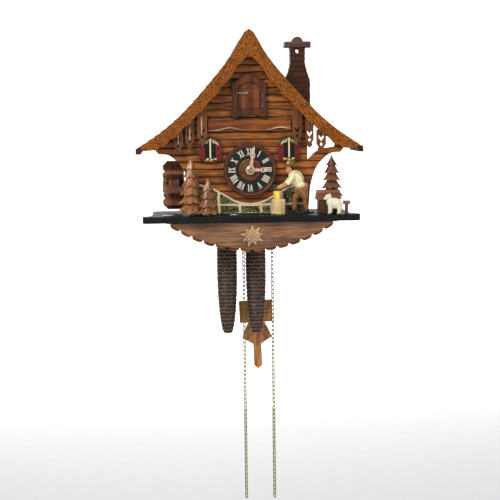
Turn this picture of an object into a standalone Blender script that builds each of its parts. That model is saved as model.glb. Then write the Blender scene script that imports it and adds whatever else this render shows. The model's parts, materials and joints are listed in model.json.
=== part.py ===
"""A one-day chalet cuckoo clock: case, curved roof, carved scene, dial, movement, weights and pendulum.

Lengths are in millimetres in this file, and every mesh is written in metres.
X points to the viewer's right, +Y points into the wall, +Z points up. The origin is on the rear face
of the back panel, level with the dial's centre.
"""
import math

import bmesh
import bpy
from mathutils import Matrix, Vector

MM = 0.001
GAP = 0.3  # between pieces that touch

# ---- overall sizes ----
ROOF_HALF = 159.5  # half the span of the gable board
ROOF_PEAK = 203.0  # height of the gable's top above the dial's centre
ROOF_EAVE = 35.5  # height of the gable's two tips
CASE_HALF = 78.0  # half the width of the case over its sides
CASE_DEPTH = 95.0  # wall to the front face of the facade
PLATE_TOP = -64.0  # top of the base plate
PLATE_THICK = 9.5
PLATE_HALF = 157.0
PLATE_FRONT = CASE_DEPTH + 53.0  # how far the base plate stands out from the wall
PLATE_BACK = 20.0  # its back edge stays this far from the wall

# ---- boards ----
BACK_THICK = 5.0
SIDE_THICK = 6.0
FACADE_THICK = 7.7
FACADE_HALF = 84.5
ROOF_THICK = 8.0
ROOF_PROUD = 1.5  # the roof boards stand above the gable board's edge
ROOF_OVERHANG = 7.0  # the roof boards run past the gable board's tips
ROOF_BEHIND_FRONT = 9.0  # facade's front to the back of the gable board
GABLE_THICK = 8.7
HANG_HOLE_R = 5.0
HANG_HOLE_Z = 78.0

# ---- dial and hands ----
DIAL_R = 38.8
DIAL_RIM = 5.8
DIAL_DEPTH = 8.0
CENTRE_R = 16.8
RING_THICK = 3.0
ARBOR_R = 2.7
PIPE_R = 4.5
HOUR_PIPE_HOLE_R = PIPE_R + 1.1
HUB_R = 6.8
MINUTE_LENGTH = 35.0
HOUR_LENGTH = 28.5
MINUTE_ANGLE = 10.0  # degrees past twelve
HOUR_ANGLE = 90.5
HAND_THICK = 0.8

# ---- cuckoo doorway ----
DOOR_WIDTH = 30.6
DOOR_BOTTOM = 88.2
DOOR_SPRING = 117.0  # where the arched top starts
DOOR_TOP = 125.4
DOOR_THICK = 2.5
FRAME_THICK = 5.4

# ---- movement ----
MOVEMENT_HALF = 44.0
MOVEMENT_BOTTOM = -46.0
MOVEMENT_TOP = 66.0
PLATE_SHEET = 1.5
MOVEMENT_FRONT = CASE_DEPTH - 13.0  # wall to the front face of the front plate
MOVEMENT_BACK = 30.5  # wall to the rear face of the back plate
PILLAR_R = 2.5
CHAIN_WHEEL_X = 21.6
CHAIN_WHEEL_Z = -28.0
CHAIN_PITCH_R = 12.5
CHAIN_R = 2.2  # half the width of a link
CHAIN_PLANE = 52.0  # wall to the chains
CHAIN_HOLE_R = CHAIN_R + 2.4
CHAIN_LEFT_END = -505.0  # height of the lowest point of each free chain
CHAIN_RIGHT_END = -505.0
WEIGHT_R = 15.7
WEIGHT_TOP = -98.0
WEIGHT_LENGTH = 150.0
HANGER_Z = 60.0  # suspension post of the pendulum
ANCHOR_Z = 45.0
PENDULUM_PLANE = 24.0  # wall to the middle of the pendulum
PENDULUM_TILT = 2.0  # degrees off the vertical, caught in its swing
PENDULUM_END = -309.0

# ---- base scene: how far each piece stands from the wall ----
FIGURE_PLANE = CASE_DEPTH + 16.0
YARD_PLANE = CASE_DEPTH + 41.0
KENNEL_FRONT = CASE_DEPTH + 33.5
MILL_R = 37.0
MILL_X = -111.0
MILL_PLANE = 60.0

FACADE_FRONT = -CASE_DEPTH
FACADE_BACK = FACADE_FRONT + FACADE_THICK
GABLE_BACK = FACADE_FRONT - ROOF_BEHIND_FRONT - GAP
GABLE_FRONT = GABLE_BACK - GABLE_THICK
PLATE_UNDER = PLATE_TOP - PLATE_THICK

# ---- colours: base colour, roughness, metallic ----
FINISHES = {
    "walnut": ((0.17, 0.065, 0.024), 0.5, 0.0),
    "plank": ((0.22, 0.08, 0.03), 0.48, 0.0),
    "dark_wood": ((0.07, 0.03, 0.016), 0.5, 0.0),
    "thatch": ((0.42, 0.155, 0.03), 0.75, 0.0),
    "fir": ((0.30, 0.105, 0.03), 0.45, 0.0),
    "pale_wood": ((0.62, 0.42, 0.2), 0.6, 0.0),
    "yellow_wood": ((0.75, 0.5, 0.1), 0.5, 0.0),
    "black_paint": ((0.02, 0.024, 0.026), 0.3, 0.0),
    "stone": ((0.35, 0.28, 0.17), 0.7, 0.0),
    "burgundy": ((0.16, 0.015, 0.02), 0.45, 0.0),
    "charcoal": ((0.028, 0.032, 0.038), 0.55, 0.0),
    "peach": ((0.78, 0.52, 0.38), 0.5, 0.0),
    "brass": ((0.78, 0.58, 0.25), 0.3, 1.0),
    "steel": ((0.5, 0.5, 0.52), 0.35, 1.0),
    "iron": ((0.05, 0.042, 0.04), 0.5, 0.6),
    "shirt": ((0.72, 0.68, 0.52), 0.7, 0.0),
    "skin": ((0.75, 0.45, 0.3), 0.55, 0.0),
    "dog_coat": ((0.8, 0.76, 0.62), 0.6, 0.0),
    "kid": ((0.75, 0.7, 0.6), 0.7, 0.0),
}


def material(name):
    """The Principled material of one finish, made the first time it is asked for."""
    made = bpy.data.materials.get(name)
    if made:
        return made
    colour, rough, metal = FINISHES[name]
    made = bpy.data.materials.new(name)
    made.use_nodes = True
    shader = made.node_tree.nodes["Principled BSDF"]
    shader.inputs["Base Color"].default_value = (*colour, 1.0)
    shader.inputs["Roughness"].default_value = rough
    shader.inputs["Metallic"].default_value = metal
    return made


# ---------------------------------------------------------------- shapes

def from_bmesh(bm):
    """A mesh with its faces turned outwards, made from a bmesh that is then freed."""
    bmesh.ops.recalc_face_normals(bm, faces=bm.faces)
    mesh = bpy.data.meshes.new("shape")
    bm.to_mesh(mesh)
    bm.free()
    return mesh


def prism(outline, low, high, plane="XZ"):
    """A closed outline pushed through from low to high along the plane's third axis."""
    places = {
        "XZ": lambda u, v, w: (u, w, v),
        "XY": lambda u, v, w: (u, v, w),
        "YZ": lambda u, v, w: (w, u, v),
    }
    place = places[plane]
    bm = bmesh.new()
    ends = []
    for level in (low, high):
        ends.append([bm.verts.new(Vector(place(u, v, level)) * MM) for u, v in outline])
    for ring in ends:
        bm.faces.new(ring)
    count = len(outline)
    for i in range(count):
        j = (i + 1) % count
        bm.faces.new((ends[0][i], ends[0][j], ends[1][j], ends[1][i]))
    return from_bmesh(bm)


def block(low, high):
    """A box between two corners."""
    (x0, y0, z0), (x1, y1, z1) = low, high
    return prism([(x0, z0), (x1, z0), (x1, z1), (x0, z1)], y0, y1)


def turned(profile, centre, axis="Y", sides=24):
    """A solid turned about an axis, from (radius, distance along the axis) points in order.

    A profile that starts and ends at radius 0 is solid; one that doesn't is a ring.
    """
    bm = bmesh.new()
    frames = {
        "X": lambda a, b, h: (h, a, b),
        "Y": lambda a, b, h: (a, h, b),
        "Z": lambda a, b, h: (a, b, h),
    }
    place = frames[axis]
    rings = []
    for radius, height in profile:
        count = 1 if radius == 0 else sides
        ring = []
        for i in range(count):
            turn = 2 * math.pi * i / sides
            point = Vector(place(radius * math.cos(turn), radius * math.sin(turn), height))
            ring.append(bm.verts.new((point + Vector(centre)) * MM))
        rings.append(ring)
    pairs = list(zip(rings, rings[1:]))
    if profile[0][0] > 0:
        pairs.append((rings[-1], rings[0]))
    for near, far in pairs:
        for i in range(sides):
            j = (i + 1) % sides
            corners = [near[i % len(near)], near[j % len(near)], far[j % len(far)], far[i % len(far)]]
            unique = list(dict.fromkeys(corners))
            if len(unique) > 2:
                bm.faces.new(unique)
    return from_bmesh(bm)


def rod(start, end, radius, sides=10, end_radius=None):
    """A straight round bar between two points, tapered when end_radius is given."""
    start, end = Vector(start), Vector(end)
    far_radius = radius if end_radius is None else end_radius
    shape = turned([(0, 0), (radius, 0), (far_radius, (end - start).length), (0, (end - start).length)],
                   (0, 0, 0), "Z", sides)
    turn = (end - start).to_track_quat("Z", "Y").to_matrix().to_4x4()
    shape.transform(Matrix.Translation(start * MM) @ turn)
    return shape


def egg(centre, radii, sides=12, rings=8, tilt=None):
    """An ellipsoid, turned by a rotation about its centre when tilt is given."""
    profile = []
    for i in range(rings + 1):
        angle = math.pi * i / rings
        radius = 0 if i in (0, rings) else math.sin(angle)
        profile.append((radius, math.cos(angle)))
    shape = turned(profile, (0, 0, 0), "Z", sides)
    shape.transform(Matrix.Diagonal((*radii, 1.0)))
    if tilt:
        shape.transform(tilt.to_4x4())
    shape.transform(Matrix.Translation(Vector(centre) * MM))
    return shape


def arc(centre, radius, start, end, steps):
    """Points along a circular arc, angles in degrees."""
    points = []
    for i in range(steps + 1):
        angle = math.radians(start + (end - start) * i / steps)
        points.append((centre[0] + radius * math.cos(angle), centre[1] + radius * math.sin(angle)))
    return points


def smooth(points, steps=4):
    """A Catmull-Rom curve through a few points."""
    padded = [points[0], *points, points[-1]]
    curve = []
    for a, b, c, d in zip(padded, padded[1:], padded[2:], padded[3:]):
        for i in range(steps):
            t = i / steps
            curve.append(tuple(
                0.5 * (2 * b[k] + (c[k] - a[k]) * t + (2 * a[k] - 5 * b[k] + 4 * c[k] - d[k]) * t * t
                       + (3 * b[k] - a[k] - 3 * c[k] + d[k]) * t ** 3)
                for k in range(2)))
    curve.append(points[-1])
    return curve


def mirrored(points):
    """The same points on the other side of the middle, in reverse order."""
    return [(-x, z) for x, z in reversed(points)]


def both_sides(right_half):
    """A closed outline from its right half, which runs from the middle to the middle."""
    return right_half + [p for p in mirrored(right_half) if abs(p[0]) > 1e-6]


def combine(base, others, operation):
    """A mesh joined with, or cut by, the other meshes, one after another."""
    holder = bpy.data.objects.new("combine", base)
    bpy.context.scene.collection.objects.link(holder)
    for other in others:
        tool = bpy.data.objects.new("tool", other)
        tool.hide_render = True
        tool.display_type = "WIRE"
        bpy.context.scene.collection.objects.link(tool)
        step = holder.modifiers.new("step", "BOOLEAN")
        step.operation = operation
        step.solver = "EXACT"
        step.object = tool
        depsgraph = bpy.context.evaluated_depsgraph_get()
        result = bpy.data.meshes.new_from_object(holder.evaluated_get(depsgraph))
        holder.modifiers.clear()
        holder.data = result
        bpy.data.objects.remove(tool)
    result = holder.data
    bpy.data.objects.remove(holder)
    bm = bmesh.new()
    bm.from_mesh(result)
    bmesh.ops.dissolve_limit(bm, angle_limit=math.radians(0.5), verts=bm.verts, edges=bm.edges)
    bmesh.ops.dissolve_degenerate(bm, edges=bm.edges, dist=1e-6)
    bmesh.ops.triangulate(bm, faces=[f for f in bm.faces if len(f.verts) > 4])
    bm.to_mesh(result)
    bm.free()
    return result


def union(*shapes):
    return combine(shapes[0], shapes[1:], "UNION")


def cut(shape, *tools):
    return combine(shape, tools, "DIFFERENCE")


def piece(name, shape, finish, pivot=(0.0, 0.0, 0.0), round_it=False):
    """One named sub-part, with its origin at its pivot."""
    origin = Vector(pivot) * MM
    shape.transform(Matrix.Translation(-origin))
    shape.name = name
    shape.materials.clear()
    shape.materials.append(material(finish))
    made = bpy.data.objects.new(name, shape)
    made.location = origin
    bpy.context.scene.collection.objects.link(made)
    if round_it:
        shape.shade_smooth()
        shape.set_sharp_from_angle(angle=math.radians(40))
    return made


# ---------------------------------------------------------------- roof line

# Shares of the half span and of the rise, from the rounded peak down the bell-cast slope to the tip.
ROOF_LINE = [(0.0, 1.0), (0.048, 0.965), (0.137, 0.811), (0.242, 0.675), (0.391, 0.509),
             (0.54, 0.352), (0.677, 0.225), (0.82, 0.115), (1.0, 0.0), (1.09, -0.05)]
ROOF_CURVE = [(x * ROOF_HALF, ROOF_EAVE + z * (ROOF_PEAK - ROOF_EAVE)) for x, z in smooth(ROOF_LINE, 5)]


def roof_z(x):
    """Height of the gable board's outer edge at a distance from the middle."""
    x = abs(x)
    for (x0, z0), (x1, z1) in zip(ROOF_CURVE, ROOF_CURVE[1:]):
        if x <= x1:
            return z0 + (z1 - z0) * (x - x0) / (x1 - x0)
    return ROOF_CURVE[-1][1]


def roof_slope(x):
    return (roof_z(abs(x) + 1) - roof_z(max(abs(x) - 1, 0))) / 2


def roof_top(x):
    return roof_z(x) + ROOF_PROUD


ROOF_STATIONS = [GAP / 2 + (ROOF_HALF + ROOF_OVERHANG - GAP / 2) * i / 22 for i in range(23)]
# Underside of the roof boards: one board's thickness below their top, measured square to the slope.
UNDER_LINE = [(x, roof_top(x) - ROOF_THICK * math.hypot(1, roof_slope(max(x, 8.0)))) for x in ROOF_STATIONS]


TOP_LINE = [(x, roof_top(x)) for x in ROOF_STATIONS]


def along(line, x):
    """Height of a line of straight facets at a distance from the middle."""
    x = max(abs(x), line[0][0])
    for (x0, z0), (x1, z1) in zip(line, line[1:]):
        if x <= x1:
            return z0 + (z1 - z0) * (x - x0) / (x1 - x0)
    return line[-1][1]


def below_roof(start, end):
    """Points just under the roof from one distance to a larger one, bending where the roof does."""
    clear = GAP * 1.5
    middle = [x for x in ROOF_STATIONS if start < x < end]
    return [(x, along(UNDER_LINE, x) - clear) for x in (start, *middle, end)]


def gable_inner(x):
    """Lower edge of the gable board, with its soft lobes and the point in the middle."""
    share = abs(x) / ROOF_HALF
    depth = 20.0 + 12.0 * (1 - share) + 9.0 * max(0.0, 1 - abs(x) / 18.0)
    lobes = 1.6 * math.cos(2 * math.pi * abs(x) / 19.0)
    return roof_z(x) - depth + lobes * min(1.0, abs(x) / 10.0)


def build_roof():
    steps = 22
    tip = ROOF_HALF
    outer = [(tip * i / steps, roof_z(tip * i / steps)) for i in range(steps + 1)]
    notch = 0.85 * ROOF_HALF
    corner = [(tip - 5.0, ROOF_EAVE - 6.0), (notch, gable_inner(notch))]
    inner = [(notch * (1 - i / 32), gable_inner(notch * (1 - i / 32))) for i in range(1, 33)]
    piece("gable_board", prism(both_sides(outer + corner + inner), GABLE_FRONT, GABLE_BACK), "thatch")
    under = list(reversed(UNDER_LINE))
    for side, name in ((-1, "roof_left"), (1, "roof_right")):
        outline = [(side * x, z) for x, z in TOP_LINE + under]
        piece(name, prism(outline, GABLE_BACK + GAP, -2.0), "dark_wood")


# ---------------------------------------------------------------- case

def build_case():
    floor = PLATE_TOP + GAP
    back_half = CASE_HALF - SIDE_THICK - GAP
    back = prism(both_sides([*below_roof(0, back_half), (back_half, floor), (0, floor)]), -BACK_THICK, 0)
    hole = turned([(0, -BACK_THICK - 1), (HANG_HOLE_R, -BACK_THICK - 1), (HANG_HOLE_R, 1), (0, 1)],
                  (0, 0, HANG_HOLE_Z), "Y", 24)
    piece("back_panel", cut(back, hole), "walnut")
    mill_bore = turned([(0, -CASE_HALF - 2), (3.5, -CASE_HALF - 2), (3.5, -CASE_HALF + SIDE_THICK + 2),
                        (0, -CASE_HALF + SIDE_THICK + 2)], (0, -MILL_PLANE, MILL_Z), "X", 16)
    for side, name in ((-1, "case_left_side"), (1, "case_right_side")):
        inner = CASE_HALF - SIDE_THICK
        outline = [(side * x, z) for x, z in [(inner, floor), *below_roof(inner, CASE_HALF),
                                              (CASE_HALF, floor)]]
        board = prism(outline, FACADE_BACK + GAP, -0.5)
        if side < 0:
            board = cut(board, mill_bore)
        piece(name, board, "walnut")


def doorway_outline(margin):
    """The arched doorway, grown on every side by a margin."""
    half = DOOR_WIDTH / 2 + margin
    rise = DOOR_TOP - DOOR_SPRING
    radius = ((DOOR_WIDTH / 2) ** 2 + rise ** 2) / (2 * rise)
    middle = DOOR_TOP - radius
    spread = math.degrees(math.asin(min(1.0, half / (radius + margin))))
    top = arc((0, middle), radius + margin, 90 - spread, 90 + spread, 8)
    return [(-half, DOOR_BOTTOM - margin), (half, DOOR_BOTTOM - margin), *top]


def build_facade():
    rise = below_roof(0, FACADE_HALF)
    arm_top = smooth([(FACADE_HALF, 13.0), (93.0, 22.0), (100.5, 27.4), (109.0, 29.7), (124.0, 32.0)], 3)
    arm_tip = [*below_roof(128.0, 139.0), (137.6, 30.0)]
    arm_under = smooth([(133.0, 24.0), (122.8, 23.6), (115.4, 20.9), (108.0, 14.8), (100.7, 7.3),
                        (95.5, -1.7), (92.0, -11.5), (89.9, -19.0), (87.7, -31.6),
                        (85.2, PLATE_TOP + GAP)], 2)
    foot = [*arm_under, (0, PLATE_TOP + GAP)]
    right = [*rise, *arm_top, *arm_tip, *foot]
    left = [*below_roof(0, 139.0), (137.6, 30.0), *foot]
    outline = right + mirrored(left[1:-1])
    board = prism(outline, FACADE_FRONT, FACADE_BACK)
    doorway = prism(doorway_outline(1.2), FACADE_FRONT - 1, FACADE_BACK + 1)
    arbor_hole = turned([(0, FACADE_FRONT - 1), (HOUR_PIPE_HOLE_R, FACADE_FRONT - 1),
                         (HOUR_PIPE_HOLE_R, FACADE_BACK + 1), (0, FACADE_BACK + 1)], (0, 0, 0), "Y", 20)
    piece("facade", cut(board, doorway, arbor_hole), "plank")

    balcony_half, balcony_top = 60.5, 72.0
    wave = smooth([(balcony_half, 57.5), (53.0, 58.5), (45.0, 61.5), (36.0, 59.0), (27.0, 56.6),
                   (12.0, 56.5),
                   (-6.0, 56.8), (-18.0, 59.0), (-28.6, 61.5), (-42.0, 58.6), (-balcony_half, 57.0)], 3)
    board = [(-balcony_half, balcony_top), (balcony_half, balcony_top), *wave]
    piece("balcony_board", prism(board, FACADE_FRONT - GAP - 5.0, FACADE_FRONT - GAP), "walnut")


def build_posts():
    """The hanging fretwork under each slope: three pierced drops on a rail behind the gable board."""
    front, back = GABLE_BACK + GAP, FACADE_FRONT - GAP - 4.2
    drops = [(69.0, 7.0, 36.5), (87.0, 6.0, 30.5), (104.0, 7.0, 24.0)]
    rail_x = [60.0 + 54.0 * i / 6 for i in range(7)]
    for side, name in ((-1, "eave_fretwork_left"), (1, "eave_fretwork_right")):
        upper = [(x, gable_inner(x) + 11.0) for x in rail_x]
        lower = [(x, gable_inner(x) + 4.0) for x in reversed(rail_x)]
        rail = upper + lower
        shape = prism([(side * x, z) for x, z in rail], front, back)
        holes = []
        for x, half, tip in drops:
            top = gable_inner(x) + 6.0
            outline = [(x - half, top), (x - half, tip + 12.0), (x - half * 0.55, tip + 8.0),
                       (x - half * 0.75, tip + 4.5), (x, tip), (x + half * 0.75, tip + 4.5),
                       (x + half * 0.55, tip + 8.0), (x + half, tip + 12.0), (x + half, top)]
            shape = union(shape, prism([(side * u, v) for u, v in outline], front + 0.05, back - 0.05))
            vee = [(x - 3.6, tip + 25.5), (x - 3.6, tip + 21.5), (x, tip + 16.5), (x + 3.6, tip + 21.5),
                   (x + 3.6, tip + 25.5), (x, tip + 21.0)]
            diamond = [(x, tip + 15.0), (x - 2.0, tip + 12.0), (x, tip + 9.0), (x + 2.0, tip + 12.0)]
            for opening in (vee, diamond):
                holes.append(prism([(side * u, v) for u, v in opening], front - 1, back + 1))
        piece(name, cut(shape, *holes), "fir")


def build_windows():
    back = FACADE_FRONT - GAP
    for side, name in ((-1, "window_left"), (1, "window_right")):
        x = 57.5 * side
        frame = [(x - 16.6, 12.0), (x + 16.6, 12.0), *arc((x, 30.0), 18.0, 30, 150, 8)]
        shape = prism(frame, back - 2.6, back)
        for hand in (-1, 1):
            middle = x + hand * 12.2
            shape = union(shape, block((middle - 4.3, back - 3.6, 16.5), (middle + 4.3, back - 1.0, 36.0)))
        box = block((x - 9.5, back - 4.0, 10.4), (x + 9.5, back - 0.8, 16.0))
        piece(name, union(shape, box), "burgundy")


def build_chimney():
    x, middle, thick = 73.5, -60.0, 24.0
    half = 18.4
    sides = [(half, 129.0), (14.0, 141.0), (10.8, 155.0), (11.2, 178.0)]
    stations = [u for u in ROOF_STATIONS if x - half < u < x + half]
    foot = [(u, along(TOP_LINE, u) + 1.5 * GAP) for u in (x - half, *stations, x + half)]
    left_low = max(sides[0][1], foot[0][1] + 2.0)
    left = [(-u, max(v, left_low)) for u, v in reversed(sides)]
    outline = foot + [(x + u, v) for u, v in sides + left]
    shaft = prism(outline, middle - thick / 2, middle + thick / 2)
    cap = block((x - 19.3, middle - thick / 2 - 3, 177.0), (x + 19.3, middle + thick / 2 + 3, 186.0))
    dome = [(x + 8.2, 184.0), *arc((x, 185.2), 8.2, 0, 180, 10), (x - 8.2, 184.0)]
    crown = prism(dome, middle - thick / 2 + 2, middle + thick / 2 - 2)
    flue = turned([(0, middle - thick), (3.8, middle - thick), (3.8, middle + thick), (0, middle + thick)],
                  (x, 0, 172.0), "Y", 16)
    piece("chimney", cut(union(shaft, cap, crown), flue), "dark_wood")


# ---------------------------------------------------------------- base

def build_base():
    step = 118.0
    front = -PLATE_FRONT
    shoulder = front + 9.0
    back = -PLATE_BACK
    right = [(0, front), (step, front), (step + 5.0, front + 2.0), (step + 7.0, shoulder),
             (PLATE_HALF - 8.0, shoulder - 1.0), (PLATE_HALF - 1.0, shoulder + 2.0),
             (PLATE_HALF, shoulder + 9.0),
             (PLATE_HALF - 1.0, shoulder + 16.0), (PLATE_HALF - 10.0, shoulder + 24.0),
             (PLATE_HALF - 13.0, shoulder + 40.0), (PLATE_HALF - 13.0, back - 8.0),
             (PLATE_HALF - 20.0, back), (0, back)]
    plate = prism(both_sides(right), PLATE_UNDER, PLATE_TOP, "XY")
    tools = [block((-20.0, -PENDULUM_PLANE - 3.5, PLATE_UNDER - 1),
                   (22.0, -PLATE_BACK + 2.0, PLATE_TOP + 1))]
    for x in CHAIN_XS:
        tools.append(turned([(0, PLATE_UNDER - 1), (CHAIN_HOLE_R, PLATE_UNDER - 1),
                             (CHAIN_HOLE_R, PLATE_TOP + 1),
                             (0, PLATE_TOP + 1)], (x, -CHAIN_PLANE, 0), "Z", 16))
    piece("base_plate", cut(plate, *tools), "black_paint")

    half, drop = 117.5, 38.0
    radius = (half ** 2 + drop ** 2) / (2 * drop)
    top = PLATE_UNDER - GAP
    spread = math.degrees(math.asin(half / radius))
    bow = arc((0, top - drop + radius), radius, -90 + spread, -90 - spread, 28)
    piece("apron_board", prism(bow, -PLATE_FRONT + 9.0, -PLATE_FRONT + 16.0), "walnut")
    lobes, ups = 14, 4
    lower = []
    for i in range(lobes * ups + 1):
        share = i / (lobes * ups)
        angle = math.radians(-90 + spread - 2 * spread * share)
        wave = 4.2 * (1 - 0.75 * abs(math.cos(math.pi * lobes * share)) ** 4)
        grown = radius + wave * min(1.0, 12 * min(share, 1 - share) + 0.15)
        lower.append((grown * math.cos(angle), min(top - 0.5,
                                                   top - drop + radius + grown * math.sin(angle))))
    piece("apron_scallop", prism([(half, top), *lower, (-half, top)], -PLATE_FRONT + 16.3,
                                 -PLATE_FRONT + 22.0), "fir")

    petals = 9
    flower = []
    for i in range(petals * 2):
        angle = math.radians(90 + 360 * i / (petals * 2))
        reach = (17.5 if i % 4 == 0 else 14.0) if i % 2 == 0 else 7.0
        flower.append((reach * math.cos(angle), -93.0 + reach * math.sin(angle)))
    front_face = -PLATE_FRONT + 9.0 - GAP
    piece("edelweiss", prism(flower, front_face - 2.2, front_face), "peach")

    ridge = smooth([(0, -48.9), (12, -47.0), (24.3, -43.0), (40, -33.5), (57, -24.4), (74, -19.6),
                    (FACADE_HALF - 0.5, -19.6)], 2)
    wall = both_sides([*ridge, (FACADE_HALF - 0.5, PLATE_TOP + GAP), (0, PLATE_TOP + GAP)])
    piece("stone_wall", prism(wall, FACADE_FRONT - GAP - 2.4, FACADE_FRONT - GAP), "stone")


def fir_tree(name, x, plane, apex, tiers, depth):
    """A carved fir of stacked cones, from (height of the tier's skirt, radius) pairs, top first.

    Its depth is a share of its width.
    """
    profile = [(0, apex)]
    for skirt, radius in tiers:
        profile.append((radius, skirt + 1.6))
        profile.append((radius * 0.93, skirt))
        profile.append((radius * 0.45, skirt + 1.0))
    profile[-1] = (tiers[-1][1] * 0.45, tiers[-1][0])
    floor = PLATE_TOP + GAP
    profile += [(3.0, tiers[-1][0]), (3.0, floor), (0, floor)]
    shape = turned(list(reversed(profile)), (0, 0, 0), "Z", 8)
    shape.transform(Matrix.Translation(Vector((x, -plane, 0)) * MM) @ Matrix.Diagonal((1.0, depth, 1.0,
                                                                                       1.0)))
    piece(name, shape, "fir")


def build_trees():
    fir_tree("tree_tall", -86.5, CASE_DEPTH + 23.0, 21.5,
             [(3.0, 8.6), (-9.5, 11.6), (-22.0, 13.6), (-34.5, 17.2), (-46.5, 19.2), (-60.5, 22.5)], 0.7)
    fir_tree("tree_small", -62.5, CASE_DEPTH + 42.0, -9.0,
             [(-27.5, 9.0), (-39.0, 12.0), (-51.0, 14.6), (-61.4, 15.5)], 0.68)
    fir_tree("tree_right", 120.5, CASE_DEPTH - 5.0, 19.5,
             [(4.0, 9.0), (-7.5, 12.0), (-18.0, 14.0), (-29.5, 16.0), (-41.5, 18.0)], 0.8)


def build_figure():
    """The wood chopper, leaning over his block, and what he works at."""
    y = -FIGURE_PLANE
    floor = PLATE_TOP + GAP
    shape = egg((67.0, y, -15.0), (11.5, 6.9, 14.5), tilt=Matrix.Rotation(math.radians(-28), 3, "Y"))
    shape = union(shape, egg((75.0, y, -32.0), (8.5, 7.2, 9.0)))
    for foot, knee, offset in (((63.5, floor + 3), (62.0, -47.0), 4.5),
                               ((81.5, floor + 3), (78.5, -46.0), -4.0)):
        hip = (74.0, y + offset, -35.0)
        joint = (knee[0], y + offset, knee[1])
        ankle = (foot[0], y + offset, foot[1])
        shin = rod((joint[0], joint[1], joint[2] + 2.0), ankle, 3.7, 10, 2.6)
        boot = egg((foot[0] - 1.5, y + offset, floor + 2.9), (4.6, 2.8, 2.9), 10, 6)
        shape = union(shape, rod(hip, joint, 5.0, 10, 3.8), shin, boot)
    neck = rod((58.5, y, -2.5), (62.0, y, -9.0), 3.0, 8)
    shape = union(shape, egg((56.5, y, 2.0), (5.6, 5.0, 6.4)), neck)
    hat = turned([(0, 4.0), (10.2, 4.4), (10.6, 5.4), (6.6, 6.0), (5.6, 10.5), (3.5, 12.2), (0, 12.4)],
                 (0, 0, 0), "Z", 16)
    tilt = Matrix.Rotation(math.radians(9), 4, "Y")
    hat.transform(Matrix.Translation(Vector((57.5, y, 1.2)) * MM) @ tilt)
    body = union(shape, hat)
    piece("chopper_body", body, "shirt", round_it=True)

    shoulder = SHOULDER
    hands = (43.5, y, -25.0)
    arms = []
    for offset in (-9.9, 9.9):
        elbow = (53.0, y + offset, -20.0)
        arms.append(rod((shoulder[0], y + offset, shoulder[2]), elbow, 2.6, 8, 2.3))
        arms.append(rod((elbow[0] + 0.6, elbow[1], elbow[2] + 0.4),
                        (hands[0], y + offset * 0.1, hands[2]), 2.2, 8, 1.8))
        arms.append(egg((shoulder[0], y + offset, shoulder[2]), (2.9, 2.7, 2.9), 8, 6))
    fist = egg(hands, (2.9, 3.2, 2.7), 8, 6)
    arm_shape = union(fist, *arms)
    handle_hole = rod((50.0, y, -19.0), (33.0, y, -29.2), 1.1 + 0.25, 8)
    piece("chopper_arms", cut(arm_shape, handle_hole), "skin", SHOULDER, round_it=True)
    handle = rod((49.6, y, -19.24), (35.0, y, -28.0), 1.05, 8)
    head = prism([(32.0, -21.0), (37.2, -21.8), (38.0, -25.0), (35.4, -29.4), (31.6, -29.6),
                  (33.2, -25.5)], y - 2.4, y + 2.4)
    piece("axe", union(handle, head), "steel", SHOULDER)

    block_top = -42.4
    piece("chopping_block", turned([(0, floor), (10.4, floor), (10.0, floor + 8), (10.3, block_top),
                                    (0, block_top)],
                                   (39.5, y - 5.0, 0), "Z", 20), "pale_wood", round_it=True)
    log_low = block_top + GAP
    piece("split_log", turned([(0, log_low), (5.4, log_low), (5.4, log_low + 11.4), (0, log_low + 11.4)],
                              (38.0, y - 1.0, 0), "Z", 14), "yellow_wood", round_it=True)


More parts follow.
